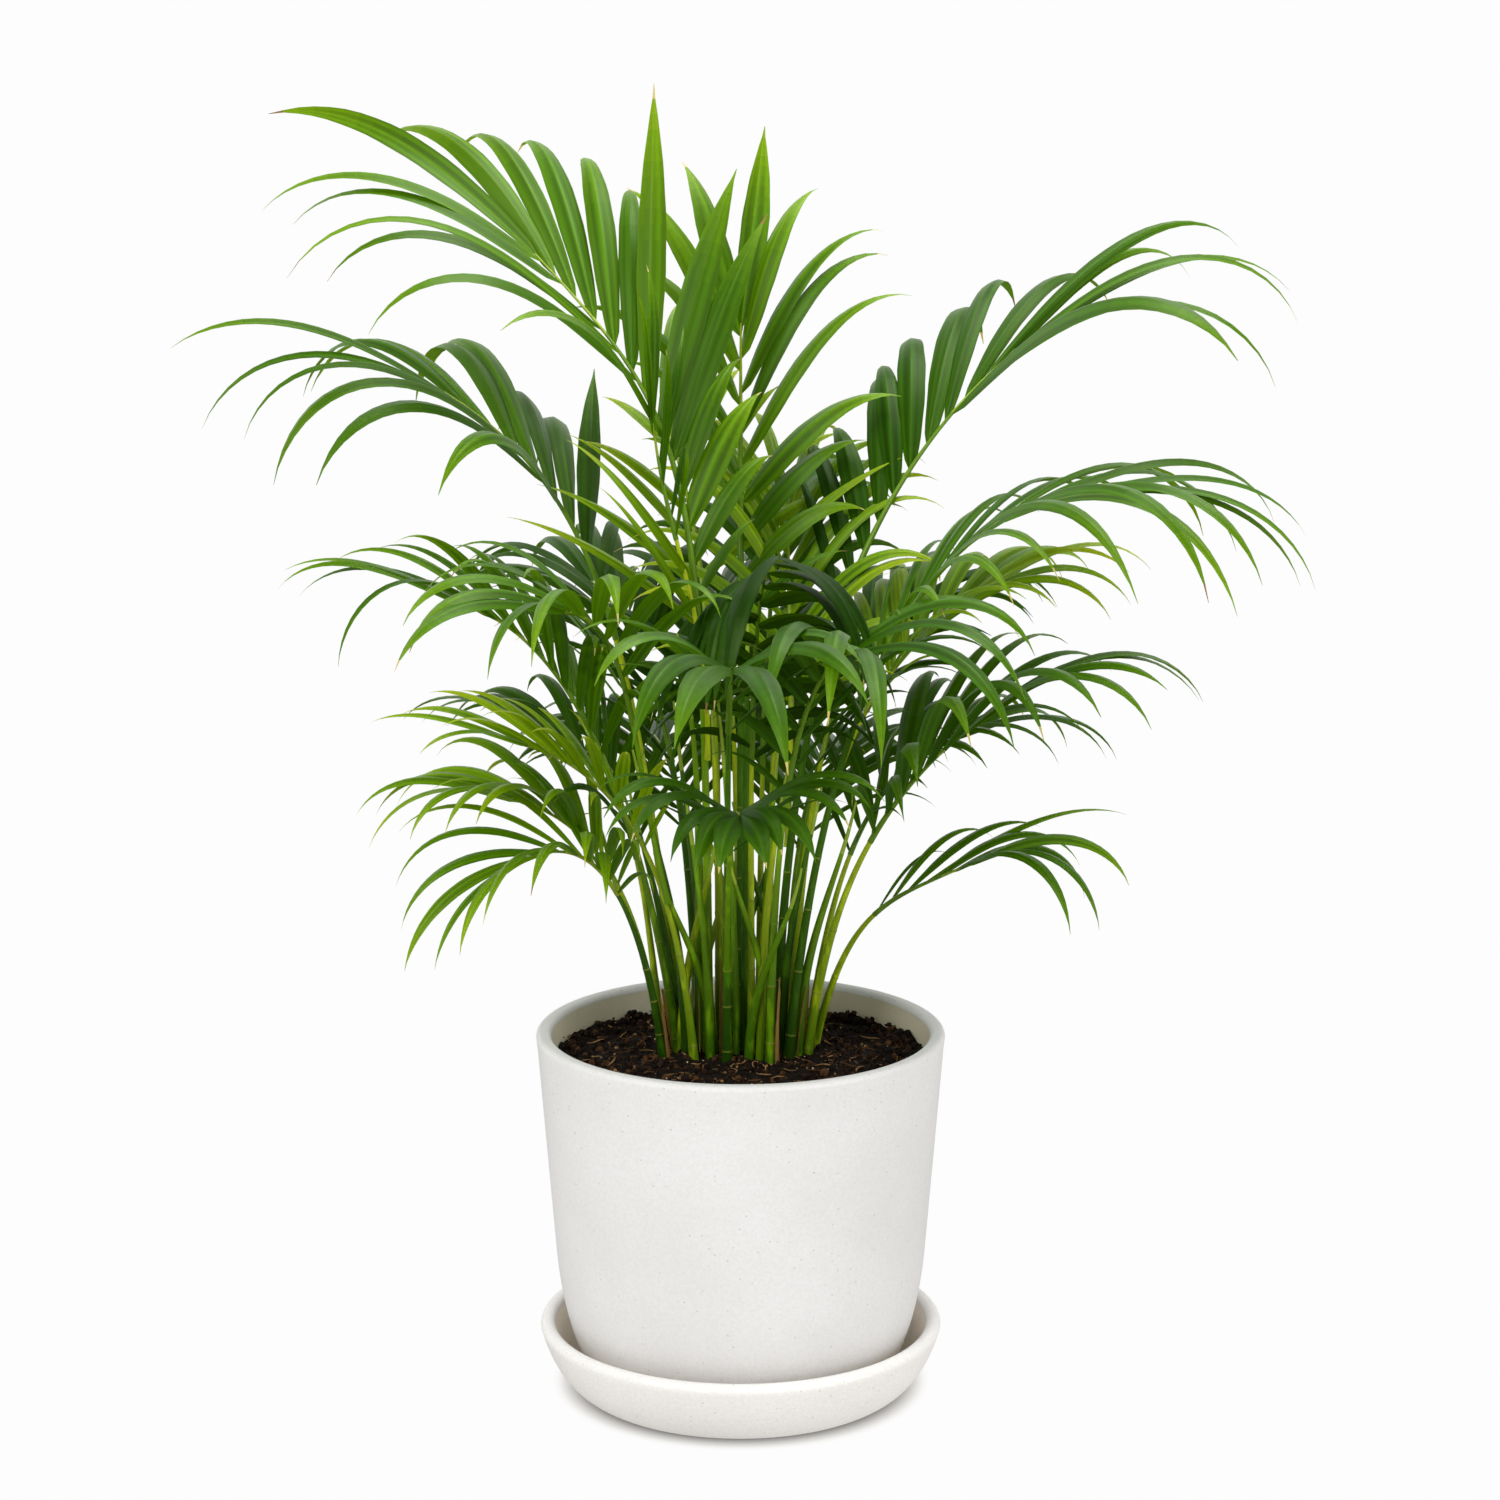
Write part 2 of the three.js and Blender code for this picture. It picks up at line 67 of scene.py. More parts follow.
# The part's fronds, some with their tips set more finely. One that is on another frond has a petiole,
# which leaves that frond's cane at a height and towards an azimuth.
FRONDS = dict(
    crown_left=dict(foot=(-24, 14), tip=(-150, 95, 830), fall=50, rise=0.75, reach=0.3,
        bare=0.52, pairs=13, leaf=235, wide=0.9, open=(44, 8), sweep=8, roll=14, droop=1.45, tone=9.4),
    upper_left=dict(foot=(-42, 42), tip=(-217, 85, 730), lean=8, fall=60, rise=0.55, reach=0.3,
        bare=0.58, pairs=10, leaf=215, wide=0.86, vee=18, roll=3, droop=2, clear=(3, 0), tone=8.8, dusk=2),
    crown_back=dict(foot=(0, 34), tip=(0, 150, 775), fall=26, bare=0.56,
        pairs=9, leaf=240, taper=0.46, open=(46, 12), vee=32, droop=1.25, tone=9.4),
    crown_spear=dict(on=("crown_left", 470, -60), tip=(-62, 12, 715), fall=5, bare=0.66,
        pairs=3, leaf=112, open=(34, 6), vee=40, droop=0.4, tone=8),
    crown_right=dict(foot=(26, 24), tip=(201, 115, 756), lean=2, fall=55, bare=0.58,
        pairs=11, leaf=225, open=(46, 10), roll=-6, droop=1.8, clear=(0, 7), tone=9.6, dusk=6),
    upper_right=dict(foot=(35, 4), tip=(230, -30, 668), lean=5, fall=78, reach=0.28, bare=0.6,
        pairs=11, leaf=200, wide=0.78, sun=0.05, open=(45, 14), vee=10, roll=-8, tone=8.6),
    middle_right=dict(foot=(49, 16), tip=(165, -20, 500), lean=8, fall=50, rise=0.38, reach=0.38,
        bare=0.6, leaf=185, roll=-8, tone=7.2),
    low_right=dict(foot=(54, 30), tip=(165, -30, 402), lean=13, fall=62, rise=0.6, reach=0.36,
        bare=0.58, pairs=7, leaf=130, wide=0.8, droop=2.1, clear=(0, 2), sun=0.5, tone=8.4),
    middle_left=dict(foot=(-46, 24), tip=(-190, -20, 586), lean=8, fall=68, rise=0.55, reach=0.2,
        bare=0.56, pairs=10, leaf=155, wide=0.85, droop=1.25, tone=8.6),
    # lower_left's high tone is partly its own yellow-green, partly painted light for leaves lit from behind.
    lower_left=dict(foot=(-34, -4), tip=(-150, -60, 495), lean=5, fall=69, bare=0.58,
        leaf=116, droop=0.75, curl=0.3, tone=13),
    low_left=dict(foot=(-57, 6), tip=(-145, -60, 415), lean=8, fall=100, bare=0.62,
        leaf=136, wide=0.8, roll=12, clear=(0, 1), tone=10.8),
    low_left_inner=dict(on=("low_left", 300, 90), tip=(-160, -15, 445), fall=72, bare=0.45,
        leaf=135, wide=0.95, tone=11.6),
    front_upper=dict(foot=(8, 8), tip=(25, -95, 636), fall=75, bare=0.52,
        pairs=11, leaf=142, wide=1.5, open=(50, 38), vee=-25, droop=4, curl=0, tone=3.6),
    front_middle=dict(foot=(-10, -4), tip=(-5, -230, 580), fall=82, bare=0.66,
        pairs=5, leaf=160, wide=1.3, droop=1.5, tone=7.2),
    front_low=dict(on=("front_middle", 320, -90), tip=(0, -200, 475), fall=85, bare=0.45,
        leaf=150, wide=1.2, droop=1.3, tone=5.6),
    front_right=dict(foot=(22, -10), tip=(80, -165, 580), fall=80, bare=0.5,
        leaf=185, droop=1.8, tone=7.4),
    front_left=dict(on=("lower_left", 370, -60), tip=(-120, -120, 600), fall=80, bare=0.52,
        leaf=160, tone=9.3),
    # inner_right and inner_back have high tones: partly the paler green of young leaves, partly painted light
    # for leaves lit from behind.
    inner_right=dict(on=("upper_right", 420, 90), tip=(165, 50, 580), fall=60, bare=0.45,
        leaf=155, wide=1.1, sun=0.3, tone=13),
    inner_back=dict(on=("crown_right", 400, 120), tip=(35, 120, 640), fall=45, bare=0.33,
        pairs=10, leaf=155, wide=0.8, vee=35, tone=13.2),
    back_upper_left=dict(foot=(-16, 52), tip=(-60, 190, 700), fall=62,
        leaf=200, wide=0.72, open=(58, 16), droop=0.7, curl=0.1, tone=12.6),
    back_upper_right=dict(foot=(14, 54), tip=(35, 210, 640), fall=70, bare=0.45,
        pairs=11, leaf=150, tone=6.8),
    # From here on, the back and low side fronds have low tones: painted shade for their place behind the
    # plant.
    back_middle=dict(on=("back_upper_left", 360, 90), tip=(-20, 225, 560), fall=80, bare=0.36,
        pairs=10, leaf=170, tone=5),
    back_right=dict(foot=(34, 46), tip=(125, 160, 560), lean=4, fall=70,
        leaf=165, tone=5),
    back_left=dict(foot=(-32, 62), tip=(-115, 185, 575), lean=4, fall=70,
        leaf=165, tone=5.4),
    back_low_right=dict(on=("back_right", 310, 110), tip=(70, 200, 440), fall=90, bare=0.4,
        pairs=9, leaf=165, tone=5.4),
    back_low_left=dict(on=("back_left", 320, 70), tip=(-70, 215, 450), fall=90, bare=0.4,
        pairs=9, leaf=165, tone=5),
    side_low_right=dict(foot=(50, 42), tip=(160, 90, 470), lean=8, fall=75,
        leaf=140, tone=5.9),
    side_low_left=dict(foot=(-58, 38), tip=(-140, 85, 475), lean=8, fall=72,
        leaf=130, tone=6.3),
)

# What a frond has where its row is silent. lean and fall are a stalk's angles from upright at its foot and
# tip, and rise and reach say how far it keeps to each. The share bare has no leaflets. They leave the rib
# at the angles open, from the blade's foot to its end, less sweep on the right and more on the left. vee
# lifts them out of the blade's plane, roll lifts the right ones more, droop bends them down, curl bends
# their ends away from their faces, sun turns the faces to the light, taper shortens and wide broadens
# them, and clear is how many of the lowest are left out on each side. tone is their place on the ladder
# of greens, and the painted shade for leaflets deep in the plant is how far below it they start at the
# blade's foot.
DEFAULTS = dict(on=None, lean=0, rise=0.45, reach=0.33, bare=0.55, pairs=8, open=(48, 12), sweep=0, vee=28,
                roll=0, droop=1.6, clear=(0, 0), curl=0.45, taper=0, sun=0.16, wide=1, dusk=0)

# Leaflets that leave the rule, by frond, side and pair. size, wide, droop and curl multiply what the rule
# gives, and open, lift and tone are added to it. A plain number is a size, and size 0 isn't grown.
AS_RULED = dict(size=1, wide=1, open=0, lift=0, droop=1, curl=1, tone=0)
OWN_WAY = dict(
    crown_left=dict(
        L0=dict(size=1.35, wide=2.1, open=5, droop=0.5, curl=0, tone=3.5),
        L1=dict(size=1.15, wide=1.3, open=6, droop=0.5, curl=0, tone=3), L2=0, L3=0, L4=0,
        L5=dict(size=1.1, lift=10, droop=0.8), L6=0, L8=dict(size=1.15, open=-4), L10=0,
        L12=dict(open=6, droop=1.1), R0=0.5, R1=0.55, R2=0.6, R3=dict(size=0.6, wide=0.8),
        R4=dict(size=0.95, wide=1.25, droop=0.4, curl=0.2),
        R5=dict(size=0.88, wide=1.15, open=5, droop=0.3, curl=0.2),
        R6=dict(size=1.08, wide=1.08, open=5, droop=0.1, curl=0), R7=dict(size=0.86, wide=1.02, open=8),
        R8=dict(size=0.92, open=10), R9=dict(open=9), R10=dict(open=9), R11=dict(open=8),
        R12=dict(size=1.22, wide=0.85, droop=0.75, curl=0.35)),
    upper_left=dict(
        L3=0, L4=dict(size=0.95, lift=13), L5=dict(size=1.12, droop=1.1), L6=dict(size=1.14, droop=1.4),
        L7=dict(droop=0.85), L8=dict(size=1.1, droop=0.85),
        L9=dict(size=1.05, open=7, droop=0.8, curl=0.5), R0=0.6, R1=0.6,
        R2=dict(size=0.86, wide=1.05, open=-2, droop=0.2, curl=0, tone=-2), R3=dict(wide=1.2),
        R4=dict(wide=1.2), R5=dict(wide=1.2), R6=dict(wide=1.15), R9=0),
    crown_back=dict(
        L0=0, L1=0, L2=0, L3=dict(size=0.5, wide=0.8), L4=dict(size=0.7, wide=0.7), L5=dict(wide=0.6),
        L6=dict(wide=0.62), L7=dict(size=1.1, wide=0.85, droop=0.5),
        L8=dict(size=1.2, wide=1.1, droop=0.2), R0=0.6, R1=0.6, R2=0.65, R3=0.78,
        R4=dict(size=1.1, wide=0.75), R5=dict(size=1.15, wide=0.75),
        R6=dict(size=1.12, wide=0.78, droop=0.9), R7=dict(size=1.08, wide=0.85),
        R8=dict(size=1.2, wide=1.1, open=-8, droop=0.1, curl=0)),
    crown_right=dict(
        L0=dict(size=0.9, open=-10), L1=dict(size=0.88, wide=0.9, open=-14),
        L2=dict(size=0.66, wide=0.85, open=-5), L3=dict(size=0.86, wide=0.85, open=-15, curl=0.8),
        L4=0.74, L5=0.86, L7=dict(wide=0.85), L8=dict(wide=0.72, open=-4, droop=0.8),
        L9=dict(size=1.32, wide=0.6, open=-12, droop=0.5),
        L10=dict(size=1.1, wide=0.6, open=-4, droop=0.7), R7=dict(size=1.22, wide=1.4, open=22),
        R8=dict(size=1.18, wide=0.7, open=14), R9=dict(size=1.25, wide=0.8, open=5),
        R10=dict(size=1.05, wide=0.75, open=4)),
    upper_right=dict(
        L4=dict(lift=-14), L5=dict(lift=-14), L6=dict(size=1.1, lift=-16), L7=dict(size=1.1, lift=-14),
        L8=dict(size=1.1, lift=-10), L9=dict(size=1.02, lift=-6, droop=0.8), R3=1.12,
        R4=dict(size=1.45, droop=1.3), R5=0, R6=dict(size=1.28, droop=1.15), R7=dict(size=1.2, droop=1.1),
        R8=1.15, R9=dict(size=1.2, droop=0.8)),
    middle_right=dict(
        L3=dict(curl=0.3), L5=dict(lift=-10), L6=dict(size=1.1, lift=-22),
        L7=dict(size=1.12, open=4, lift=-24), R3=1.25, R4=1.15, R5=1.15, R6=1.1,
        R7=dict(open=4, lift=-18)),
    low_right=dict(
        # L3's raised tone is partly the paler underside it shows, partly painted sheen.
        L2=dict(droop=0.6, curl=0.6), L3=dict(size=1.25, wide=0.9, lift=-16, droop=0.4, curl=0.3, tone=2),
        L5=0.9, L6=dict(size=1.02, droop=0.8), R2=0, R3=0, R4=0, R5=1.2, R6=dict(size=1.1, droop=1.2)),
    middle_left=dict(L7=dict(droop=0.7), L8=dict(size=1.1, droop=1.7), L9=dict(droop=0.5)),
    lower_left=dict(L7=dict(size=0.9, droop=1.5)),
    front_right=dict(R0=0.55, R1=0.5, R2=0.5, R3=0.5, R4=0.6),
    front_low=dict(L4=0.9, L5=0.72, L6=0.62, L7=0.6, R4=0.85, R5=0.68, R6=0.66, R7=0.6),
    back_upper_left=dict(
        L1=1.12, L2=dict(size=0.8, open=-6), L3=dict(size=0.66, open=-6), L4=0.5, L5=0, L6=0.4, L7=0,
        R2=0.75, R3=0.7, R4=0.6, R5=0.6, R6=0.6),
)

LEAF_ROWS = 21
LEAF_COLUMNS = np.array([-1.0, -0.78, -0.56, -0.34, -0.14, -0.03, 0.03, 0.14, 0.34, 0.56, 0.78, 1.0])
PLEATS = np.array([0, 1, -0.6, 1, -0.8, 0.3, 0.3, -0.8, 1, -0.6, 1, 0]) * 0.004
RIB_SIDES = 8
CANE_SIDES = 14
SHOOT_SIDES = 8
WARE_SIDES = 160


def vary(i, j):
    """A repeatable number from -1 to 1 for leaflet j of frond i, by uneven steps along a sine."""
    v = math.sin(i * 12.9898 + j * 78.233) * 43758.5453
    return 2 * (v - math.floor(v)) - 1


def unit(v):
    return v / np.maximum(np.linalg.norm(v, axis=-1, keepdims=True), 1e-12)


def tilted(azimuth, angle):
    level = math.sin(angle)
    return np.array([level * math.cos(azimuth), level * math.sin(azimuth), math.cos(angle)])


def turns(sides):
    return np.arange(sides) * FULL_TURN / sides


def uv_grid(u, v):
    """A grid of surface coordinates."""
    return np.stack(np.broadcast_arrays(u, v), -1)


def new_object(name, data):
    made = bpy.data.objects.new(name, data)
    bpy.context.scene.collection.objects.link(made)
    return made


# Joined pieces
class Piece:
    """Gathers the points, faces, materials and surface coordinates of one joined mesh."""

    def __init__(self):
        self.points, self.faces, self.slots, self.uvs, self.count = [], [], [], [], 0

    def add(self, points, faces, slots, uv=None):
        points = points.reshape(-1, 3)
        self.points.append(points)
        self.faces.append(faces + self.count)
        self.slots.append(np.broadcast_to(slots, (len(faces),)))
        self.uvs.append(np.zeros((len(points), 2)) if uv is None else uv.reshape(-1, 2))
        self.count += len(points)

    def make(self, name, materials, slot, smooth=True):
        faces = np.concatenate(self.faces)
        mesh = bpy.data.meshes.new(name)
        mesh.from_pydata(np.concatenate(self.points) * MM, [], faces)
        mesh.polygons.foreach_set("material_index", np.concatenate(self.slots).astype(np.int32))
        mesh.polygons.foreach_set("use_smooth", np.full(len(faces), smooth))
        layer = mesh.uv_layers.new(name="surface")
        layer.data.foreach_set("uv", np.concatenate(self.uvs)[faces.ravel()].astype(np.float32).ravel())
        mesh.update()
        for material in materials:
            mesh.materials.append(material)
        made = new_object(name, mesh)
        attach(made, "root")
        return made


def tube_faces(rings, sides):
    ring = np.arange(rings - 1)[:, None] * sides
    k = np.arange(sides)[None]
    a, b = ring + k, ring + (k + 1) % sides
    return np.stack([a, b, b + sides, a + sides], -1).reshape(-1, 4)


def sheet_faces(rows, columns):
    a = (np.arange(rows - 1)[:, None] * columns + np.arange(columns - 1)[None]).reshape(-1)
    return np.stack([a, a + 1, a + 1 + columns, a + columns], -1)


def rings_round(centre, right, upper, radii, sides, wide=1.0, flat=1.0):
    """Rings of points round a line, stretched to the right by wide and upward by flat."""
    angle = turns(sides)
    ring = (right[:, None] * np.cos(angle)[None, :, None] * wide
            + upper[:, None] * np.sin(angle)[None, :, None] * flat)
    return centre[:, None] + ring * radii[:, None, None]


# Stalks
class Stalk:
    """A cane or petiole with the rib above it: one cubic curve, read by share of its length."""

    def __init__(self, row, stalks):
        self.__dict__.update(DEFAULTS)
        self.__dict__.update(row)
        size = self.leaf / LARGEST_LEAF
        least, more = PETIOLE_RADIUS if self.on else CANE_RADIUS
        self.foot_radius = least + more * size
        self.blade_radius = BLADE_RADIUS[0] + BLADE_RADIUS[1] * size
        tip = np.array(self.tip, float)
        if self.on:
            name, height, azimuth = self.on
            carrier = stalks[name]
            point, tangent, s = carrier.at_height(height)
            away = tilted(math.radians(azimuth), math.pi / 2)
            away = unit(away - tangent * away.dot(tangent))
            point = point + away * PETIOLE_SEAT * (carrier.radius(s) + self.foot_radius)
            direction = unit(tangent + away * PETIOLE_SPLAY)
        else:
            point = np.array([self.foot[0], self.foot[1], SOIL_TOP - CANE_DEPTH])
            direction = tilted(math.atan2(tip[1] - point[1], tip[0] - point[0]), math.radians(self.lean))
        span = np.linalg.norm(tip - point)
        azimuth = math.atan2(tip[1] - point[1], tip[0] - point[0])
        neck = tip - tilted(azimuth, math.radians(self.fall)) * span * self.reach
        self.control = np.array([point, point + direction * span * self.rise, neck, tip])
        self.side = unit(np.array([tip[1] - point[1], point[0] - tip[0], 0.0]))
        self.steps = np.linspace(0, 1, CURVE_POINTS)
        run = np.linalg.norm(np.diff(self.raw(self.steps), axis=0), axis=1)
        self.run = np.concatenate([[0], np.cumsum(run)])
        self.length = self.run[-1]

    def raw(self, u):
        u = np.asarray(u)[..., None]
        a, b, c, d = self.control
        return (1 - u) ** 3 * a + 3 * (1 - u) ** 2 * u * b + 3 * (1 - u) * u ** 2 * c + u ** 3 * d

    def slope(self, u):
        u = np.asarray(u)[..., None]
        a, b, c, d = self.control
        return unit((1 - u) ** 2 * (b - a) + 2 * (1 - u) * u * (c - b) + u ** 2 * (d - c))

    def share(self, s):
        return np.interp(np.asarray(s) * self.length, self.run, self.steps)

    def at_height(self, height):
        u = np.interp(height, self.raw(self.steps)[:, 2], self.steps)
        return self.raw(u), self.slope(u), np.interp(u, self.steps, self.run) / self.length

    def frame(self, s):
        """The place, course, right-hand direction and upper face at a share of the length."""
        u = self.share(s)
        tangent = self.slope(u)
        right = unit(self.side - tangent * (tangent @ self.side)[..., None])
        return self.raw(u), tangent, right, np.cross(right, tangent)

    def radius(self, s):
        s = np.asarray(s, float)
        below = self.foot_radius + (self.blade_radius - self.foot_radius) * s / self.bare
        above = self.blade_radius + (RIB_TIP_RADIUS - self.blade_radius) * (s - self.bare) / (1 - self.bare)
        return np.where(s < self.bare, below, above)


stalks = {}
for name, row in FRONDS.items():
    stalks[name] = Stalk(dict(row, name=name), stalks)


# Leaflets
# How far each trait varies from leaflet to leaflet, and where its numbers start
VARIES = dict(open=(5, 0), lift=(8, 40), length=(0.06, 80), droop=(0.18, 120), width=(0.1, 160),
              tone=(1.3, 200), twist=(1, 240), late=(1, 280), curl=(0.35, 320))
# The right leaflet of a pair stands this much of the way to the next pair
RIGHT_LAG = 0.35
LAST_PLACE = 0.995
# The width and length of the lowest pairs
LOWEST_PAIRS = {0: (0.4, 0.86), 1: (0.72, 1)}


def leaf_length(share):
    """A leaflet's length by its place on the blade, as a share of the longest."""
    return 0.78 + 0.24 * math.sin(math.pi * (0.05 + 0.62 * share))


def limpness(share):
    """How easily a leaflet bends by its place on the blade: stiff at the foot and again at the end."""
    return 0.5 + 0.6 * math.sqrt(share) - 0.35 * share ** 6


def leaflet_rules(stalk, index):
    """The root, direction, upper face, length and looks of every leaflet of a frond."""
    rules = []
    for pair in range(stalk.pairs):
        for side in (-1, 1):
            right = 1 if side > 0 else 0
            own = OWN_WAY.get(stalk.name, {}).get("LR"[right] + str(pair), 1)
            own = {**AS_RULED, **(own if isinstance(own, dict) else dict(size=own))}
            if pair < stalk.clear[right] or own["size"] == 0:
                continue
            share = (pair + RIGHT_LAG * right) / (stalk.pairs - (1 - RIGHT_LAG))
            s = min(stalk.bare + (1 - stalk.bare) * share ** 0.95, LAST_PLACE)
            number = pair * 2 + right
            luck = {trait: most * vary(index, number + start) for trait, (most, start) in VARIES.items()}
            root, tangent, sideways, upper = stalk.frame(np.array(s))
            spread = stalk.open[0] + (stalk.open[1] - stalk.open[0]) * share ** 1.7 - side * stalk.sweep
            opening = math.radians(spread + luck["open"] + own["open"])
            lift = math.radians(stalk.vee + side * stalk.roll + luck["lift"] + own["lift"])
            direction = (tangent * math.cos(opening) + sideways * side * math.cos(lift) * math.sin(opening)
                         + upper * math.sin(lift) * math.sin(opening))
            normal = unit(np.cross(direction, tangent) * side)
            length = stalk.leaf * leaf_length(share) * (1 - stalk.taper * share) * (1 + luck["length"])
            width = stalk.wide * stalk.leaf * LEAF_WIDTH * (1 + luck["width"])
            narrow, short = LOWEST_PAIRS.get(pair, (1, 1))
            droop = stalk.droop * limpness(share) * (1 + luck["droop"])
            # Painted shade: leaflets nearer the blade's foot are made darker
            tone = stalk.tone - stalk.dusk * (1 - share) + luck["tone"]
            curl = stalk.curl * (1 + luck["curl"])
            rules.append((root, direction, normal, length * short * own["size"], droop * own["droop"],
                          width * narrow * own["wide"], tone + own["tone"], curl * own["curl"], stalk.sun,
                          luck["twist"], luck["late"]))
    return [np.array(column) for column in zip(*rules)]


# Where along a leaflet it is widest
WIDEST = 0.46


def leaf_profile(t):
    """Half width along a leaflet as a share of its widest: narrow root, broad middle, long point."""
    contact_shadow = 0.26 + 0.74 * np.sin(math.pi / 2 * np.clip(t / WIDEST, 0, 1)) ** 0.8
    far = 1 - np.clip((t - WIDEST) / 0.52, 0, 1) ** 1.9
    return np.where(t < WIDEST, contact_shadow, np.maximum(far, 0.022)) * np.clip(0.35 + t * 14, 0, 1)


# Leaflets turn their faces towards the light they have grown in, which comes from the front left
SUNWARD = unit(np.array([-0.25, -1.0, 0.45]))
# A leaflet turns about its own line by up to so many degrees, its fold opens from its root on, and its
# face turns upward along it
TWIST = 16
ROOT_FOLD = 0.62
FOLD_OPENING = 0.24
UPWARD_TURN = 1.2

# Steps of the ladder of greens for each unit of tone, and the dry materials that follow the greens
LADDER_STEPS = 1.6
LAST_GREEN = 27
STRAW = 28
BROWN = 29
# Where a dry point starts, and how late a leaflet has to be to have one
STRAW_POINT = (0.96, 0.2)
BROWN_POINT = (0.94, 0.72)
# How much brighter than its tone a leaflet is at these places
TONES = dict(point=4.0, root=1.2, midrib=0.4, halves=-0.45, edges=-0.3)
# How far apart two leaflets lie in the streaks of their material
STREAK_STRIDE = 3


def leaflet_grid(rules):
    """The points of all leaflets of a frond, grown together row by row from root to point."""
    root, direction, normal, length, droop, width, _, curl, sun, twist, late = rules
    step = 1 / (LEAF_ROWS - 1)
    heading, face, point = direction.copy(), normal.copy(), root.copy()
    columns = LEAF_COLUMNS
    grid = np.empty((len(length), LEAF_ROWS, len(columns), 3))
    weight = 0.2 + 0.2 * late
    for i in range(LEAF_ROWS):
        t = i * step
        bright = face + SUNWARD * (sun * min(1.0, 0.3 + 2.5 * t))[:, None]
        bright = bright * np.where(np.sum(bright * face, -1, keepdims=True) < 0, -1, 1)
        across = unit(np.cross(heading, bright))
        over = np.cross(across, heading)
        angle = np.radians(TWIST) * twist * t
        turned = across * np.cos(angle)[:, None] + over * np.sin(angle)[:, None]
        above = np.cross(turned, heading)
        half = width / 2 * leaf_profile(np.array(t))
        fold = ROOT_FOLD - FOLD_OPENING * min(t * 3, 1)
        height = -fold * np.abs(columns) ** 1.15 + PLEATS
        edge = 0.02 * np.sin(i * 1.7 + 9 * twist)[:, None] * (np.abs(columns) > 0.9)
        grid[:, i] = (point[:, None] + turned[:, None] * (columns * (1 + edge) * half[:, None])[..., None]
                      + above[:, None] * (height * half[:, None])[..., None])
        m = t + step / 2
        early_bend = 0.25 + 1.5 * m
        late_bend = 0.05 + 3 * m * m
        bend = (1 - weight) * early_bend + weight * late_bend
        heading = heading - UP * (droop * bend * step)[:, None] - face * (curl * 4 * m ** 3 * step)[:, None]
        heading = unit(heading)
        face = face + UP * UPWARD_TURN * step
        face = unit(face - heading * np.sum(face * heading, -1, keepdims=True))
        point = point + heading * (length * step)[:, None]
    return grid


def leaflet_slots(tone, late):
    """The material of every face: a step of the ladder, or dry at the point of a late leaflet."""
    middle = (np.arange(LEAF_ROWS - 1) + 0.5) / (LEAF_ROWS - 1)
    zone = (TONES["point"] * np.clip((middle - 0.45) / 0.53, 0, 1) ** 1.5
            + TONES["root"] * np.clip(1 - middle / 0.12, 0, 1))
    centre = np.abs((LEAF_COLUMNS[1:] + LEAF_COLUMNS[:-1]) / 2)
    shade = (TONES["midrib"] * (centre < 0.03) + TONES["halves"] * ((centre > 0.2) & (centre < 0.5))
             + TONES["edges"] * (centre > 0.8))
    tip_fade = np.clip((1 - middle) / 0.4, 0, 1)
    level = tone[:, None, None] + zone[None, :, None] + shade[None, None] * tip_fade[None, :, None]
    slots = np.clip(np.round(level * LADDER_STEPS), 0, LAST_GREEN)
    for (start, lateness), dry in ((STRAW_POINT, STRAW), (BROWN_POINT, BROWN)):
        there = (middle[None] > start) & (late > lateness)[:, None]
        slots = np.where(there[..., None], dry, slots)
    return slots


def grow_leaflets(piece, rules):
    grid = leaflet_grid(rules)
    count, rows, columns = grid.shape[:3]
    faces = sheet_faces(rows, columns)
    faces = (faces[None] + (np.arange(count) * rows * columns)[:, None, None]).reshape(-1, 4)
    u = np.arange(count)[:, None, None] * STREAK_STRIDE + (LEAF_COLUMNS + 1) / 2
    v = np.arange(rows)[:, None] / (rows - 1)
    tone, late = rules[6], rules[10]
    piece.add(grid, faces, leaflet_slots(tone, late).reshape(-1), uv_grid(u, v))


# Materials
def srgb(r, g, b):
    def linear(c):
        c /= 255
        return c / 12.92 if c <= 0.04045 else ((c + 0.055) / 1.055) ** 2.4
    return (linear(r), linear(g), linear(b), 1.0)


def grey(level):
    return (level, level, level, 1.0)


def scaled(colour, factor):
    return tuple(min(1.0, c * factor) for c in colour[:3]) + (1.0,)


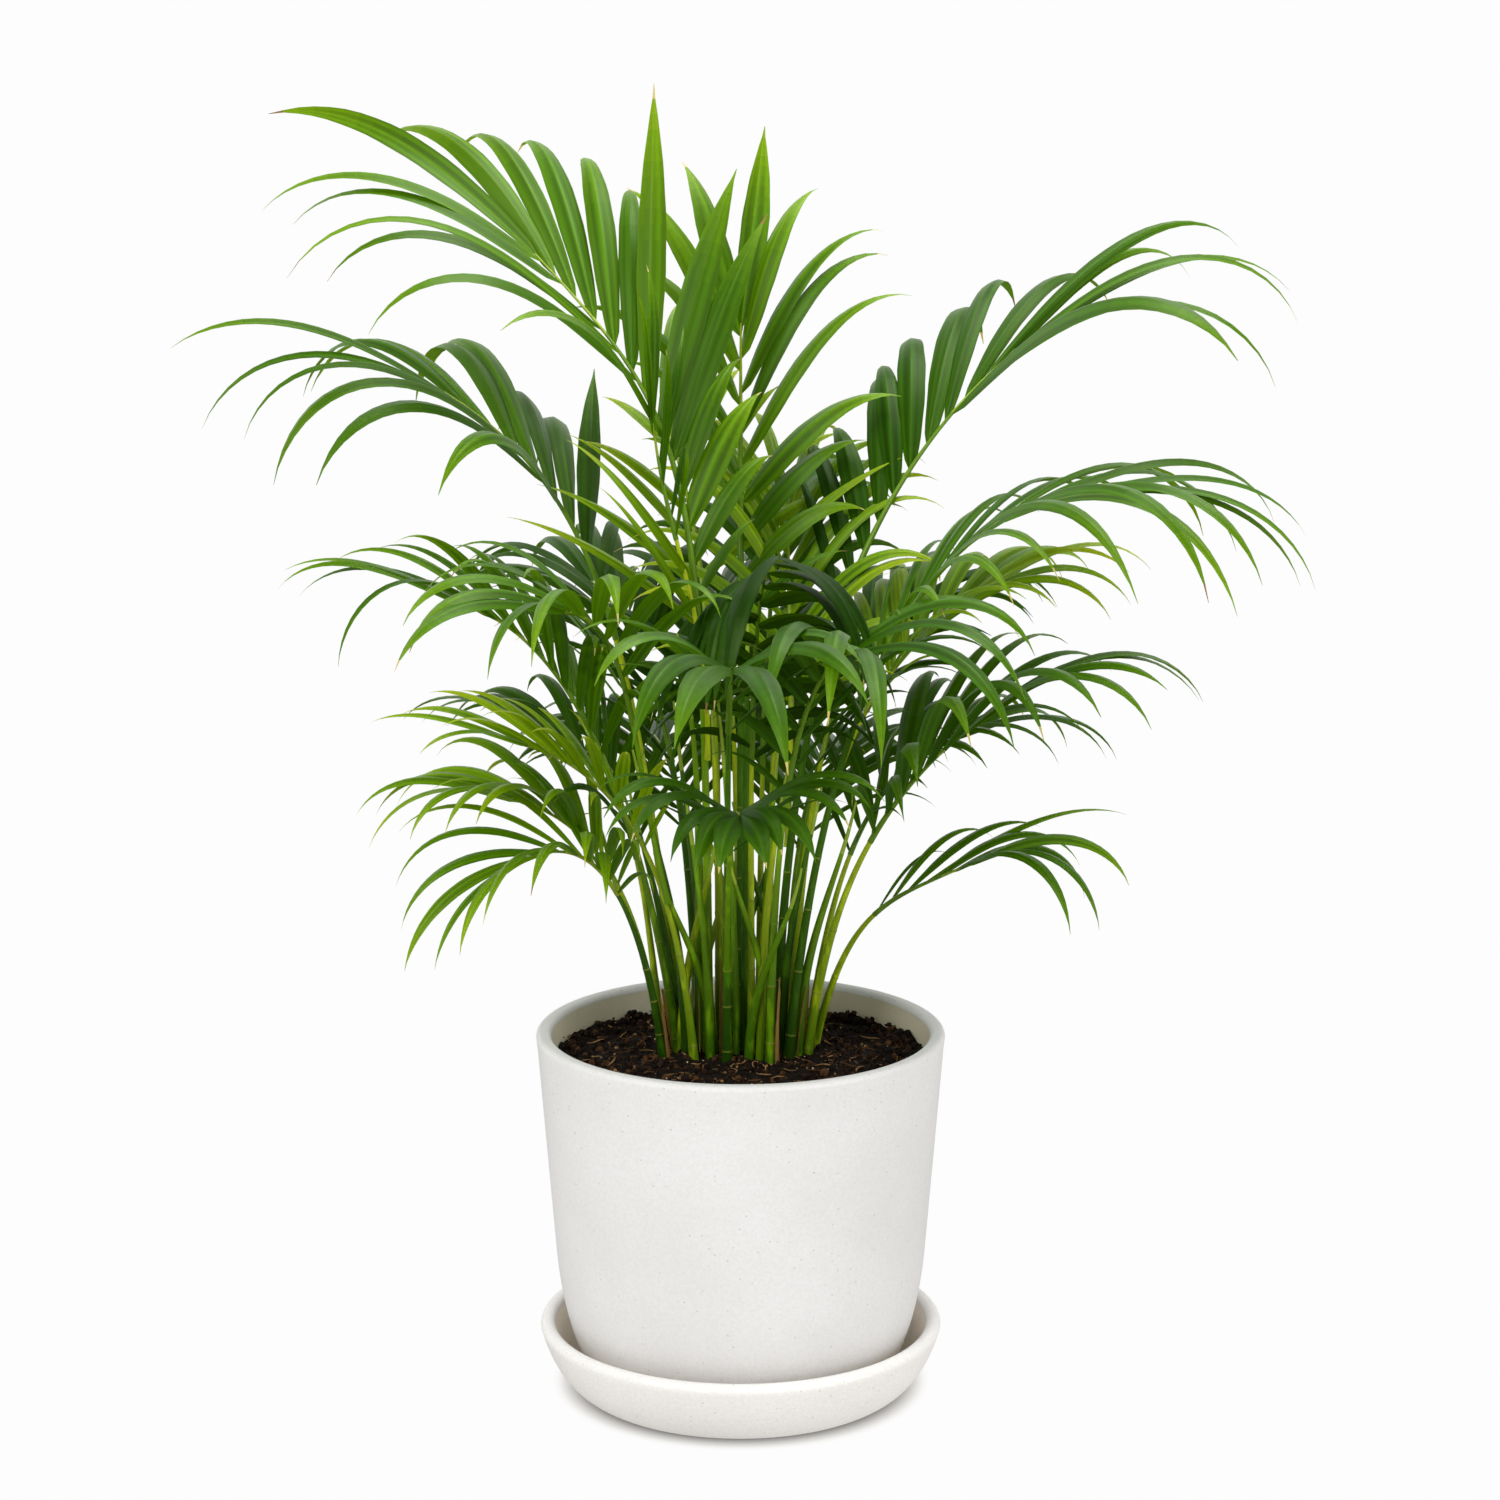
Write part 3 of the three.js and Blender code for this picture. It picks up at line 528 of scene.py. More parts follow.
class Nodes:
    """The node tree of a new material or world, with short calls for adding and joining nodes."""

    def __init__(self, owner):
        owner.use_nodes = True
        self.owner = owner
        self.tree = owner.node_tree
        self.tree.nodes.clear()

    def feed(self, socket, value):
        """Joins a socket to another one, or sets its value."""
        if isinstance(value, bpy.types.NodeSocket):
            self.tree.links.new(value, socket)
        else:
            socket.default_value = value

    def add(self, kind, **inputs):
        """A new node with its inputs fed by name, where _ stands for a space."""
        node = self.tree.nodes.new("ShaderNode" + kind)
        for name, value in inputs.items():
            self.feed(node.inputs[name.replace("_", " ")], value)
        return node

    def coordinates(self, output, scale=(1.0, 1.0, 1.0)):
        place = self.add("TexCoord").outputs[output]
        return self.add("Mapping", Vector=place, Scale=scale).outputs["Vector"]

    def axis(self, output, letter):
        """One number of a texture coordinate."""
        return self.add("SeparateXYZ", Vector=self.add("TexCoord").outputs[output]).outputs[letter]

    def stretch(self, value, start, end, low=0.0, high=1.0):
        """Runs from low to high while the value runs from start to end."""
        node = self.add("MapRange", Value=value, From_Min=start, From_Max=end, To_Min=low, To_Max=high)
        return node.outputs["Result"]

    def noise(self, vector, scale, detail=2.0, roughness=0.5):
        node = self.add("TexNoise", Vector=vector, Scale=scale, Detail=detail, Roughness=roughness)
        return node.outputs["Fac"]

    def bump(self, height, strength, distance):
        return self.add("Bump", Height=height, Strength=strength, Distance=distance).outputs["Normal"]

    def ramp(self, source, stops):
        node = self.add("ValToRGB", Fac=source)
        elements = node.color_ramp.elements
        while len(elements) < len(stops):
            elements.new(0.5)
        for element, (position, colour) in zip(elements, stops):
            element.position = position
            element.color = colour
        return node.outputs["Color"]

    def mix(self, factor, a, b, blend="MIX"):
        node = self.add("Mix")
        node.data_type = "RGBA"
        node.blend_type = blend
        for socket, value in ((node.inputs[0], factor), (node.inputs[6], a), (node.inputs[7], b)):
            self.feed(socket, value)
        return node.outputs[2]

    def tint(self, colour, other, source, *stops):
        """Mixes in another colour, by the (place, amount) stops along the source."""
        return self.mix(self.ramp(source, [(place, grey(amount)) for place, amount in stops]), colour, other)

    def glow(self, kind, colour, strength=1.0):
        return self.add(kind, Color=colour, Strength=strength).outputs[0]

    def either(self, factor, a, b):
        """One shader where the factor is 0 and the other where it is 1."""
        node = self.add("MixShader")
        for socket, value in zip(node.inputs, (factor, a, b)):
            self.feed(socket, value)
        return node.outputs[0]

    def end(self, kind, surface):
        self.add(kind, Surface=surface)
        return self.owner

    def finish(self, colour, translucent=None, share=0.0, **inputs):
        """A surface, which lets a share of the light through where it has a translucent colour."""
        surface = self.add("BsdfPrincipled", Base_Color=colour, **inputs).outputs[0]
        if translucent is not None:
            surface = self.either(share, surface, self.add("BsdfTranslucent", Color=translucent).outputs[0])
        return self.end("OutputMaterial", surface)


def new_material(name):
    return Nodes(bpy.data.materials.new(name))


# A leaf's shine is green where it faces the eye and white where it is seen from the side
WAX = (0.75, 1.0, 0.45, 1.0)
# How finely the streaks run across and along a leaflet
LEAF_STREAKS = (4.6, 0.2, 1.0)


def leaf_material(name, colour, roughness=0.4, share=0.25, shine=0.34):
    nodes = new_material(name)
    streaks = nodes.noise(nodes.coordinates("UV", LEAF_STREAKS), 1.0, 0.0)
    base = nodes.ramp(streaks, [(0.36, scaled(colour, 0.66)), (0.5, colour), (0.66, scaled(colour, 1.34))])
    base = nodes.tint(base, colour, nodes.axis("UV", "Y"), (0.55, 0.0), (0.95, 0.8))
    red, green, blue = colour[:3]
    through = (min(1.0, red * 1.9 + 0.02), min(1.0, green * 1.6 + 0.03), blue * 0.7, 1.0)
    return nodes.finish(base, through, share,
                        Roughness=roughness, Specular_IOR_Level=shine, Specular_Tint=WAX)


# The ladder of greens runs evenly between these tones: dark, middle and bright leaves, a yellowish tip
LADDER = {0: (10, 30, 0), 5: (32, 70, 0), 9: (60, 102, 0), 13: (104, 142, 0), 17: (164, 182, 24)}
# How shiny the first, the middle and the last green are
SHINE = {0: 0.1, 14: 0.38, LAST_GREEN: 0.42}
leaf_materials = []
for step in range(LAST_GREEN + 1):
    green = [np.interp(step / LADDER_STEPS, list(LADDER), channel) for channel in zip(*LADDER.values())]
    shine = float(np.interp(step, list(SHINE), list(SHINE.values())))
    leaf_materials.append(leaf_material("leaf_green_%d" % step, srgb(*green), shine=shine))
leaf_materials.append(leaf_material("leaf_straw", srgb(186, 172, 106), 0.6, 0.2))
leaf_materials.append(leaf_material("leaf_brown", srgb(128, 100, 62), 0.7, 0.1))

# A cane's colour turns from low to high between these heights, in metres
CANE_TURNS = (0.25, 0.46)


def cane_material(name, low, high, flecks=0.35):
    nodes = new_material(name)
    colour = nodes.mix(nodes.stretch(nodes.axis("Object", "Z"), *CANE_TURNS), low, high)
    streaks = nodes.noise(nodes.coordinates("UV", (9.0, 0.05, 1.0)), 2.0, 4.0, 0.6)
    colour = nodes.tint(colour, scaled(high, 0.55), streaks, (0.35, 0.0), (0.7, flecks))
    blotches = nodes.noise(nodes.coordinates("Object", (1.0, 1.0, 0.25)), 120.0, 3.0)
    colour = nodes.tint(colour, scaled(high, 1.45), blotches, (0.52, 0.0), (0.68, 0.55))
    return nodes.finish(colour, Normal=nodes.bump(streaks, 0.3, 0.0008), Roughness=0.34,
                        Specular_IOR_Level=0.4, Specular_Tint=WAX, Coat_Weight=0.15, Coat_Roughness=0.2)


CANE_GREEN, CANE_YELLOW, CANE_DARK, CANE_SCAR, CANE_TIP = range(5)
cane_materials = [
    cane_material("cane_green", srgb(42, 84, 2), srgb(114, 154, 12)),
    cane_material("cane_yellow", srgb(68, 108, 4), srgb(172, 190, 24)),
    cane_material("cane_dark", srgb(24, 56, 2), srgb(66, 110, 8)),
    cane_material("cane_scar", srgb(98, 112, 36), srgb(136, 146, 52)),
    cane_material("cane_tip", srgb(120, 150, 40), srgb(150, 176, 52)),
]
RIB_GREEN, RIB_YELLOW = range(2)
rib_materials = [
    cane_material("rib_green", srgb(70, 102, 18), srgb(92, 128, 24), 0.2),
    cane_material("rib_yellow", srgb(110, 132, 26), srgb(134, 156, 38), 0.2),
]


canes, ribs = Piece(), Piece()

# The canes are slimmer than their solids, and swell at the foot and a little above it
SLIMNESS = 0.7
CANE_SWELL = dict(foot=0.32, fades=26.0, belly=0.06, at=70, spread=60.0)
PETIOLE_SWELL = dict(foot=0.35, fades=10.0)
CANE_ROWS = 44
# Ring scars: the first one's height and the gaps, each with how much it varies, how far up they go, in
# mm and as a share of the cane, and how broad and high each is
SCARS = dict(first=14, vary=9, gap=26, widen=16, end=190, share=0.62, half=0.7, rise=0.25)
SCAR_LINES = np.array([-1.4, -0.5, 0.5, 1.6])
# Where the numbers for scars and tints start
SCAR_LUCK = 501
TINT_LUCK = 520
# A cane is yellow if its frond's tone or its luck is above these, and dark if its luck is low
YELLOW_CANE_TONE = 11
YELLOW_LUCK = 0.3
DARK_LUCK = -0.45


def tube(piece, stalk, shares, radii, sides, slots, flat=1.0):
    centre, _, right, upper = stalk.frame(shares)
    points = rings_round(centre, right, upper, radii, sides, flat=flat)
    uv = uv_grid(turns(sides)[None] / FULL_TURN, (shares * stalk.length)[:, None])
    piece.add(points, tube_faces(len(shares), sides), np.repeat(slots, sides), uv)


def scar_places(stalk, index):
    """How far up a cane its ring scars are; a petiole has none."""
    places = []
    end = min(SCARS["share"] * stalk.length * stalk.bare, SCARS["end"])
    at = SCARS["first"] + SCARS["vary"] * vary(index, SCAR_LUCK)
    while not stalk.on and at < end:
        places.append(at)
        at += SCARS["gap"] + SCARS["widen"] * (vary(index, SCAR_LUCK + len(places) + 1) + 1)
    return places


def cane_tint(stalk, index):
    luck = vary(index, TINT_LUCK)
    if stalk.tone > YELLOW_CANE_TONE or luck > YELLOW_LUCK:
        return CANE_YELLOW
    return CANE_DARK if luck < DARK_LUCK else CANE_GREEN


def grow_cane(stalk, index):
    """A cane from the soil to its blade: a swollen foot, ring scars, and a taper."""
    scars = scar_places(stalk, index)
    even = np.linspace(0, stalk.length * stalk.bare, CANE_ROWS)
    along = np.unique(np.concatenate([even] + [scar + SCAR_LINES for scar in scars]))
    shares = along / stalk.length
    swell = PETIOLE_SWELL if stalk.on else CANE_SWELL
    radii = stalk.radius(shares) * SLIMNESS * (1 + swell["foot"] * np.exp(-along / swell["fades"]))
    if not stalk.on:
        radii = radii * (1 + swell["belly"] * np.exp(-((along - swell["at"]) / swell["spread"]) ** 2))
    slots = np.full(len(along) - 1, cane_tint(stalk, index))
    centre = (along[1:] + along[:-1]) / 2
    for scar in scars:
        radii = radii + SCARS["rise"] * np.exp(-(along - scar) ** 2)
        slots[np.abs(centre - scar) < SCARS["half"]] = CANE_SCAR
    tube(canes, stalk, shares, radii, CANE_SIDES, slots)


# From this tone on a rib is yellow on the whole, and else only near its end
YELLOW_RIB_TONE = 9.7
RIB_ROWS = 30


def grow_rib(stalk):
    """A slightly flat rib, which starts just inside its cane."""
    shares = np.linspace(stalk.bare - 0.002, 1, RIB_ROWS)
    tint = RIB_YELLOW if stalk.tone > YELLOW_RIB_TONE else RIB_GREEN
    slots = np.where(np.linspace(0, 1, RIB_ROWS - 1) < 0.75, tint, RIB_YELLOW)
    tube(ribs, stalk, shares, stalk.radius(shares), RIB_SIDES, slots, flat=0.85)


class Shoot(Stalk):
    """A young unopened leaf: a thin pointed stalk among the canes."""

    def radius(self, s):
        return self.foot_radius * np.clip(1.15 - np.asarray(s), 0.06, 1) ** 0.8


# Where each shoot leaves the soil, its tip, and the size of its leaf
SHOOTS = [
    (-30, 26, -46, 30, 560, 105), (-14, 20, -22, 60, 520, 90), (4, 22, 6, 40, 600, 100),
    (16, 18, 30, 44, 500, 95), (38, 28, 70, 40, 520, 90), (-40, 14, -78, 0, 480, 90),
    (-4, 4, -16, -20, 520, 85), (14, -2, 34, -16, 470, 80), (30, 12, 60, -4, 460, 80),
    (-22, 2, -40, -24, 455, 80), (0, 44, -8, 80, 540, 90), (-48, 30, -84, 44, 450, 80),
    (42, 10, 84, 6, 440, 80), (20, 36, 26, 84, 520, 80), (-26, 40, -50, 84, 500, 80),
    (-20, 10, -62, -24, 410, 60), (10, 40, -34, 70, 440, 64), (-10, 30, 34, 58, 430, 62),
    (24, 4, -12, -26, 420, 58), (-34, 34, 4, 60, 415, 60), (34, 32, -6, 52, 430, 62),
    (6, -4, 44, -34, 400, 56), (-44, 20, -16, -8, 425, 58),
]
SHOOT_HABIT = dict(lean=1, fall=12, bare=0.9)
SHOOT_ROWS = 26
SHOOT_TIP = 0.8
SHOOT_TINTS = 3

for index, name in enumerate(FRONDS):
    grow_cane(stalks[name], index)
    grow_rib(stalks[name])
for number, (x, y, tip_x, tip_y, tip_z, leaf) in enumerate(SHOOTS):
    shoot = Shoot(dict(SHOOT_HABIT, foot=(x, y), tip=(tip_x, tip_y, tip_z), leaf=leaf), stalks)
    shares = np.linspace(0, 1, SHOOT_ROWS)
    slots = np.where(shares[1:] > SHOOT_TIP, CANE_TIP, number % SHOOT_TINTS)
    tube(canes, shoot, shares, shoot.radius(shares), SHOOT_SIDES, slots)


# Dried sheath strips at the feet of some canes
SHEATH_ROWS = 12
SHEATH_COLUMNS = 6
SHEATH_HEIGHTS = (28, 95)
SHEATH_PLACES = 15
sheaths = Piece()
rng = np.random.default_rng(11)


def grow_sheath(carrier, number):
    """A strip that holds its cane at the foot, and narrows and stands away from it towards its end."""
    tall = rng.uniform(*SHEATH_HEIGHTS)
    turn = rng.uniform(0, FULL_TURN)
    spread = rng.uniform(0.35, 0.8)
    shares = np.linspace(0, tall / carrier.length, SHEATH_ROWS)
    centre, _, right, upper = carrier.frame(shares)
    t = np.linspace(0, 1, SHEATH_ROWS)[:, None]
    angle = turn + np.linspace(-spread, spread, SHEATH_COLUMNS)[None] * (1 - 0.8 * t ** 2)
    away = 5.5 * t ** 2.2 * rng.uniform(0.1, 1)
    reach = (carrier.radius(shares) * 1.2 + 0.7)[:, None] + away
    points = (centre[:, None] + right[:, None] * (np.cos(angle) * reach)[..., None]
              + upper[:, None] * (np.sin(angle) * reach)[..., None])
    points += rng.normal(0, 0.25, points.shape) * t[..., None]
    across = np.linspace(0, 1, SHEATH_COLUMNS)[None] + number
    sheaths.add(points, sheet_faces(SHEATH_ROWS, SHEATH_COLUMNS), 0, uv_grid(across, t))


for number in range(SHEATH_PLACES):
    carrier = stalks[list(FRONDS)[(number * 5 + 1) % len(FRONDS)]]
    if not carrier.on:
        grow_sheath(carrier, number)


def sheath_material():
    nodes = new_material("sheath_papery")
    streaks = nodes.noise(nodes.coordinates("UV", (12.0, 0.6, 1.0)), 2.0, 4.0, 0.6)
    colour = nodes.ramp(streaks, [(0.3, srgb(96, 62, 20)), (0.5, srgb(150, 112, 48)),
                                  (0.75, srgb(196, 164, 96))])
    return nodes.finish(colour, srgb(190, 140, 60), 0.2, Normal=nodes.bump(streaks, 0.5, 0.001),
                        Roughness=0.75)


# Leaves, in four joined pieces, by the first word of the fronds' names
GROUPS = dict(crown=("crown", "upper"), front=("front", "inner"), low=("middle", "low", "lower", "side"),
              back=("back",))
for group, words in GROUPS.items():
    names = [name for name in FRONDS if name.split("_")[0] in words]
    leaves = Piece()
    for index, name in enumerate(FRONDS):
        if name in names:
            grow_leaflets(leaves, leaflet_rules(stalks[name], index))
    made = leaves.make("leaflets_" + group, leaf_materials, "foliage")
    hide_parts(*["frond_" + name for name in names])

cane_nodes = [("petiole_" if row.get("on") else "cane_") + name for name, row in FRONDS.items()]
made = canes.make("canes", cane_materials, "cane")
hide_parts(*cane_nodes)
made = ribs.make("ribs", rib_materials, "foliage")
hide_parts("frond_crown_left")
sheaths.make("sheaths", [sheath_material()], "cane")


# Pot and saucer
def pot_radius(z):
    straight = POT["rim"] - POT["taper"] * (POT_RIM - z)
    below = np.clip((POT_BASE + POT["foot_rise"] - z) / POT["foot_rise"], 0, 1)
    return straight - POT["foot_drop"] * (1 - np.sqrt(1 - below ** 2))


def arc(x, y, radius, start, end, steps):
    angle = np.radians(np.linspace(start, end, steps + 1))
    return np.stack([x + radius * np.cos(angle), y + radius * np.sin(angle)], -1)


def wall_line(heights, inset):
    return np.stack([pot_radius(heights) - inset, heights], -1)


def quadratic(a, b, c, steps):
    t = np.linspace(0, 1, steps + 1)[:, None]
    return (1 - t) ** 2 * np.array(a) + 2 * (1 - t) * t * np.array(b) + t ** 2 * np.array(c)


def turned(profile, inner_points):
    """A closed turned shape from (radius, height) points. Its last points are of the inner ware."""
    angle = turns(WARE_SIDES)
    ring = np.stack([np.cos(angle), np.sin(angle)], -1)
    heights = np.broadcast_to(profile[:, None, 1:], (len(profile), WARE_SIDES, 1))
    points = np.concatenate([profile[:, None, :1] * ring[None], heights], -1)
    length = np.concatenate([[0], np.cumsum(np.linalg.norm(np.diff(profile, axis=0), axis=1))])
    inner = np.arange(len(profile) - 1) >= len(profile) - inner_points
    piece = Piece()
    piece.add(points, tube_faces(len(profile), WARE_SIDES), np.repeat(inner.astype(int), WARE_SIDES),
              uv_grid(angle[None] / FULL_TURN, length[:, None] * MM))
    return piece


# A turned shape ends this far from its axis
AXIS = 0.05
INNER_POINTS = 16
BASIN_STEPS = 20

lip, shoulder, inner_floor = POT["round"], POT_RIM - POT["round"], POT_BASE + POT["floor"]
foot_top = POT_BASE + POT["foot_rise"]
foot_heights = POT_BASE + POT["foot_rise"] * (1 - np.cos(np.linspace(0, math.pi / 2, 26)))
pot_piece = turned(np.concatenate([
    [[AXIS, POT_BASE]],
    wall_line(foot_heights, 0),
    wall_line(np.linspace(foot_top + 12, shoulder - 8, 12), 0),
    arc(POT["rim"] - lip, shoulder, lip, 0, 90, steps=10),
    arc(POT["rim"] - POT["wall"] + lip, shoulder, lip, 90, 180, steps=10),
    wall_line(np.linspace(shoulder - 6, inner_floor, INNER_POINTS), POT["wall"]),
    [[AXIS, inner_floor]],
]), INNER_POINTS + 2)

half_wall = SAUCER["wall"] / 2
saucer_lip = SAUCER["height"] - half_wall
saucer_piece = turned(np.concatenate([
    [[AXIS, 0]],
    [[SAUCER["foot"] - 3, 0]],
    quadratic((SAUCER["foot"], 0), (SAUCER["bulge"], SAUCER["bulge_height"]), (SAUCER["rim"], saucer_lip),
              steps=24),
    arc(SAUCER["rim"] - half_wall, saucer_lip, half_wall, 12, 168, steps=12),
    quadratic((SAUCER["rim"] - SAUCER["wall"], saucer_lip),
              (SAUCER["bulge"] - SAUCER["wall"], SAUCER["bulge_height"] + SAUCER["floor"]),
              (SAUCER["foot"], SAUCER["floor"]), BASIN_STEPS),
    [[AXIS, SAUCER["floor"]]],
]), BASIN_STEPS + 2)


def stoneware(name, low, high):
    nodes = new_material(name)
    place = nodes.coordinates("Object")
    colour = nodes.ramp(nodes.noise(place, 9.0, 4.0, 0.55), [(0.32, low), (0.68, high)])
    grain = nodes.noise(place, 420.0, 3.0, 0.6)
    colour = nodes.tint(colour, srgb(196, 190, 180), grain, (0.35, 0.2), (0.6, 0.0))
    specks = nodes.add("TexVoronoi", Vector=place, Scale=230.0)
    dots = nodes.ramp(specks.outputs["Distance"], [(0.10, grey(1.0)), (0.17, grey(0.0))])
    chance = nodes.add("SeparateColor", Color=specks.outputs["Color"]).outputs[0]
    some = nodes.ramp(chance, [(0.80, grey(0.0)), (0.84, grey(0.5))])
    colour = nodes.mix(nodes.mix(1.0, dots, some, "MULTIPLY"), colour, srgb(150, 138, 120))
    return nodes.finish(colour, Normal=nodes.bump(grain, 0.16, 0.0006), Roughness=0.62,
                        Specular_IOR_Level=0.35)


ware = stoneware("stoneware_speckled", srgb(219, 218, 217), srgb(226, 225, 225))
# The inside of the pot is darker and warmer than the outside: painted shade for its shaded inner wall.
shaded_inside_ware = stoneware("stoneware_inside_shaded", srgb(208, 199, 170), srgb(220, 211, 187))
made = pot_piece.make("pot_turned", [ware, shaded_inside_ware], "stoneware")
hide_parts("pot")
# The saucer's basin is brighter and warmer than its outside: painted bounce light, in place of the warm light
# the pot throws into it.
bounce_lit_basin_ware = stoneware("stoneware_basin_bounce", srgb(248, 236, 216), srgb(251, 242, 225))
saucer_ware = stoneware("stoneware_saucer", srgb(233, 231, 228), srgb(239, 237, 234))
made = saucer_piece.make("saucer_turned", [saucer_ware, bounce_lit_basin_ware], "stoneware")
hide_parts("saucer")


# Soil
rng = np.random.default_rng(5)
SOIL_EDGE = float(pot_radius(SOIL_TOP)) - POT["wall"] - 0.6
SOIL_RINGS = 64
SOIL_SECTORS = 240
# The soil lies a little low, banks up against the pot from a share of its radius on, and has a low heap
SOIL_SINK = 2.0
BANK_HEIGHT = 3.5
BANK_START = 0.82
HEAP_HEIGHT = 2.0
SOIL_WAVES = 26
waves = [(rng.uniform(0, FULL_TURN), FULL_TURN / rng.uniform(9, 60), rng.uniform(0, FULL_TURN))
         for _ in range(SOIL_WAVES)]


def soil_height(x, y):
    z = np.zeros(np.shape(x))
    for angle, pace, phase in waves:
        rise = np.sin((x * math.cos(angle) + y * math.sin(angle)) * pace + phase)
        z = z + rise * 0.9 / math.sqrt(pace * 40)
    r = np.hypot(x, y) / SOIL_EDGE
    bank = BANK_HEIGHT * np.clip(r - BANK_START, 0, 1) / (1 - BANK_START)
    return SOIL_TOP - SOIL_SINK + z + bank + HEAP_HEIGHT * np.clip(1 - r * 3, 0, 1)


soil = Piece()
radii = np.sqrt(np.linspace(0.0002, 1, SOIL_RINGS)) * SOIL_EDGE
angle = turns(SOIL_SECTORS)
x = radii[:, None] * np.cos(angle)
y = radii[:, None] * np.sin(angle)
ground = np.stack([x, y, soil_height(x, y) + rng.normal(0, 0.35, x.shape)], -1)
soil.add(ground, tube_faces(SOIL_RINGS, SOIL_SECTORS), 0)

# A crumb is a lump of twelve points and twenty faces
golden = (1 + math.sqrt(5)) / 2
corners = [(short, long * golden, 0) for long in (1, -1) for short in (-1, 1)]
lump = unit(np.array([np.roll(corner, axis) for axis in range(3) for corner in corners]))
lump_faces = np.array([(0, 11, 5), (0, 5, 1), (0, 1, 7), (0, 7, 10), (0, 10, 11), (1, 5, 9), (5, 11, 4),
                       (11, 10, 2), (10, 7, 6), (7, 1, 8), (3, 9, 4), (3, 4, 2), (3, 2, 6), (3, 6, 8),
                       (3, 8, 9), (4, 9, 5), (2, 4, 11), (6, 2, 10), (8, 6, 7), (9, 8, 1)])


def spins(count):
    """Random rotations."""
    q = unit(rng.normal(size=(count, 4)))
    w, a, b, c = q.T
    rows = np.array([[1 - 2 * (b * b + c * c), 2 * (a * b - c * w), 2 * (a * c + b * w)],
                     [2 * (a * b + c * w), 1 - 2 * (a * a + c * c), 2 * (b * c - a * w)],
                     [2 * (a * c - b * w), 2 * (b * c + a * w), 1 - 2 * (a * a + b * b)]])
    return rows.transpose(2, 0, 1)


def scatter(piece, count, small, large, slots, edge_share=0.0, sink=0.25):
    """Lumps lying on the soil, each of its own shape and size; a share of them lies piled at the edge."""
    size = small + (large - small) * rng.random(count) ** 3
    r = np.sqrt(rng.random(count))
    at_edge = rng.random(count) < edge_share
    r = np.where(at_edge, rng.uniform(0.9, 1, count), r) * (SOIL_EDGE - size - 0.5)
    turn = rng.uniform(0, FULL_TURN, count)
    x, y = r * np.cos(turn), r * np.sin(turn)
    shape = lump[None] * rng.uniform(0.65, 1.15, (count, len(lump), 1)) * rng.uniform(0.55, 1, (count, 1, 3))
    shape = np.einsum("nij,nkj->nki", spins(count), shape) * size[:, None, None]
    lift = np.where(at_edge, rng.uniform(0, 4, count), 0)
    shape += np.stack([x, y, soil_height(x, y) + size * (0.5 - sink) + lift], -1)[:, None]
    faces = lump_faces[None] + (np.arange(count) * len(lump))[:, None, None]
    picked = slots[rng.integers(0, len(slots), count)]
    piece.add(shape, faces.reshape(-1, 3), np.repeat(picked, len(lump_faces)))


# The lumps are dark, brown and chips, then tan, then cream
crumbs = Piece()
scatter(crumbs, 4200, 0.8, 4.6, np.array([0, 0, 0, 0, 1, 1, 2]), edge_share=0.2)
scatter(crumbs, 420, 0.5, 2.0, np.array([3]), edge_share=0.05, sink=0.1)
scatter(crumbs, 130, 0.6, 1.8, np.array([4]), sink=0.1)

# Bark fibres: short bent strands that lie loosely on the crumbs
FIBRES = 230
FIBRE_POINTS = 8
FIBRE_SIDES = 5
# Every direction, in radians
ANY_WAY = (0, 6.3)
fibres = Piece()


def add_fibre():
    size = rng.uniform(4, 17)
    r = math.sqrt(rng.random()) * (SOIL_EDGE - 14)
    turn = rng.uniform(*ANY_WAY)
    course = rng.uniform(*ANY_WAY)
    t = np.linspace(-0.5, 0.5, FIBRE_POINTS)
    curl = rng.uniform(-0.9, 0.9)
    x = r * math.cos(turn) + size * t * math.cos(course) - size * curl * t ** 2 * math.sin(course)
    y = r * math.sin(turn) + size * t * math.sin(course) + size * curl * t ** 2 * math.cos(course)
    z = soil_height(x, y) + 1.1 + rng.uniform(0, 2.2) + size * rng.uniform(-0.12, 0.12) * t
    centre = np.stack([x, y, z], -1)
    tangent = unit(np.gradient(centre, axis=0))
    right = unit(np.cross(tangent, UP))
    thick = rng.uniform(0.16, 0.5) * (1 - 0.7 * (2 * np.abs(t)) ** 2)
    points = rings_round(centre, right, np.cross(right, tangent), thick, FIBRE_SIDES, wide=1.7)
    fibres.add(points, tube_faces(FIBRE_POINTS, FIBRE_SIDES), int(rng.integers(0, 3)))


for _ in range(FIBRES):
    add_fibre()


def earth(name, dark, light, roughness=0.95):
    nodes = new_material(name)
    grain = nodes.noise(nodes.coordinates("Object"), 260.0, 5.0, 0.65)
    colour = nodes.ramp(grain, [(0.35, dark), (0.68, light)])
    return nodes.finish(colour, Normal=nodes.bump(grain, 0.8, 0.002), Roughness=roughness,
                        Specular_IOR_Level=0.25)


soil_dark = earth("soil_dark", srgb(10, 5, 2), srgb(34, 19, 8))
soil_brown = earth("soil_brown", srgb(22, 12, 5), srgb(58, 34, 15))
soil_chip = earth("soil_chip", srgb(46, 28, 12), srgb(94, 62, 30))
soil_tan = earth("soil_tan", srgb(128, 92, 50), srgb(178, 140, 88), 0.8)
soil_cream = earth("soil_cream", srgb(206, 190, 150), srgb(240, 228, 196), 0.8)
fibre_brown = earth("fibre_brown", srgb(74, 44, 20), srgb(122, 82, 42), 0.8)
fibre_tan = earth("fibre_tan", srgb(130, 94, 52), srgb(172, 134, 84), 0.8)
made = soil.make("soil_ground", [soil_dark], "soil")
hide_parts("soil")
crumbs.make("soil_crumbs", [soil_dark, soil_brown, soil_chip, soil_tan, soil_cream], "soil", smooth=False)
fibres.make("soil_fibres", [fibre_brown, fibre_tan, soil_chip], "soil")
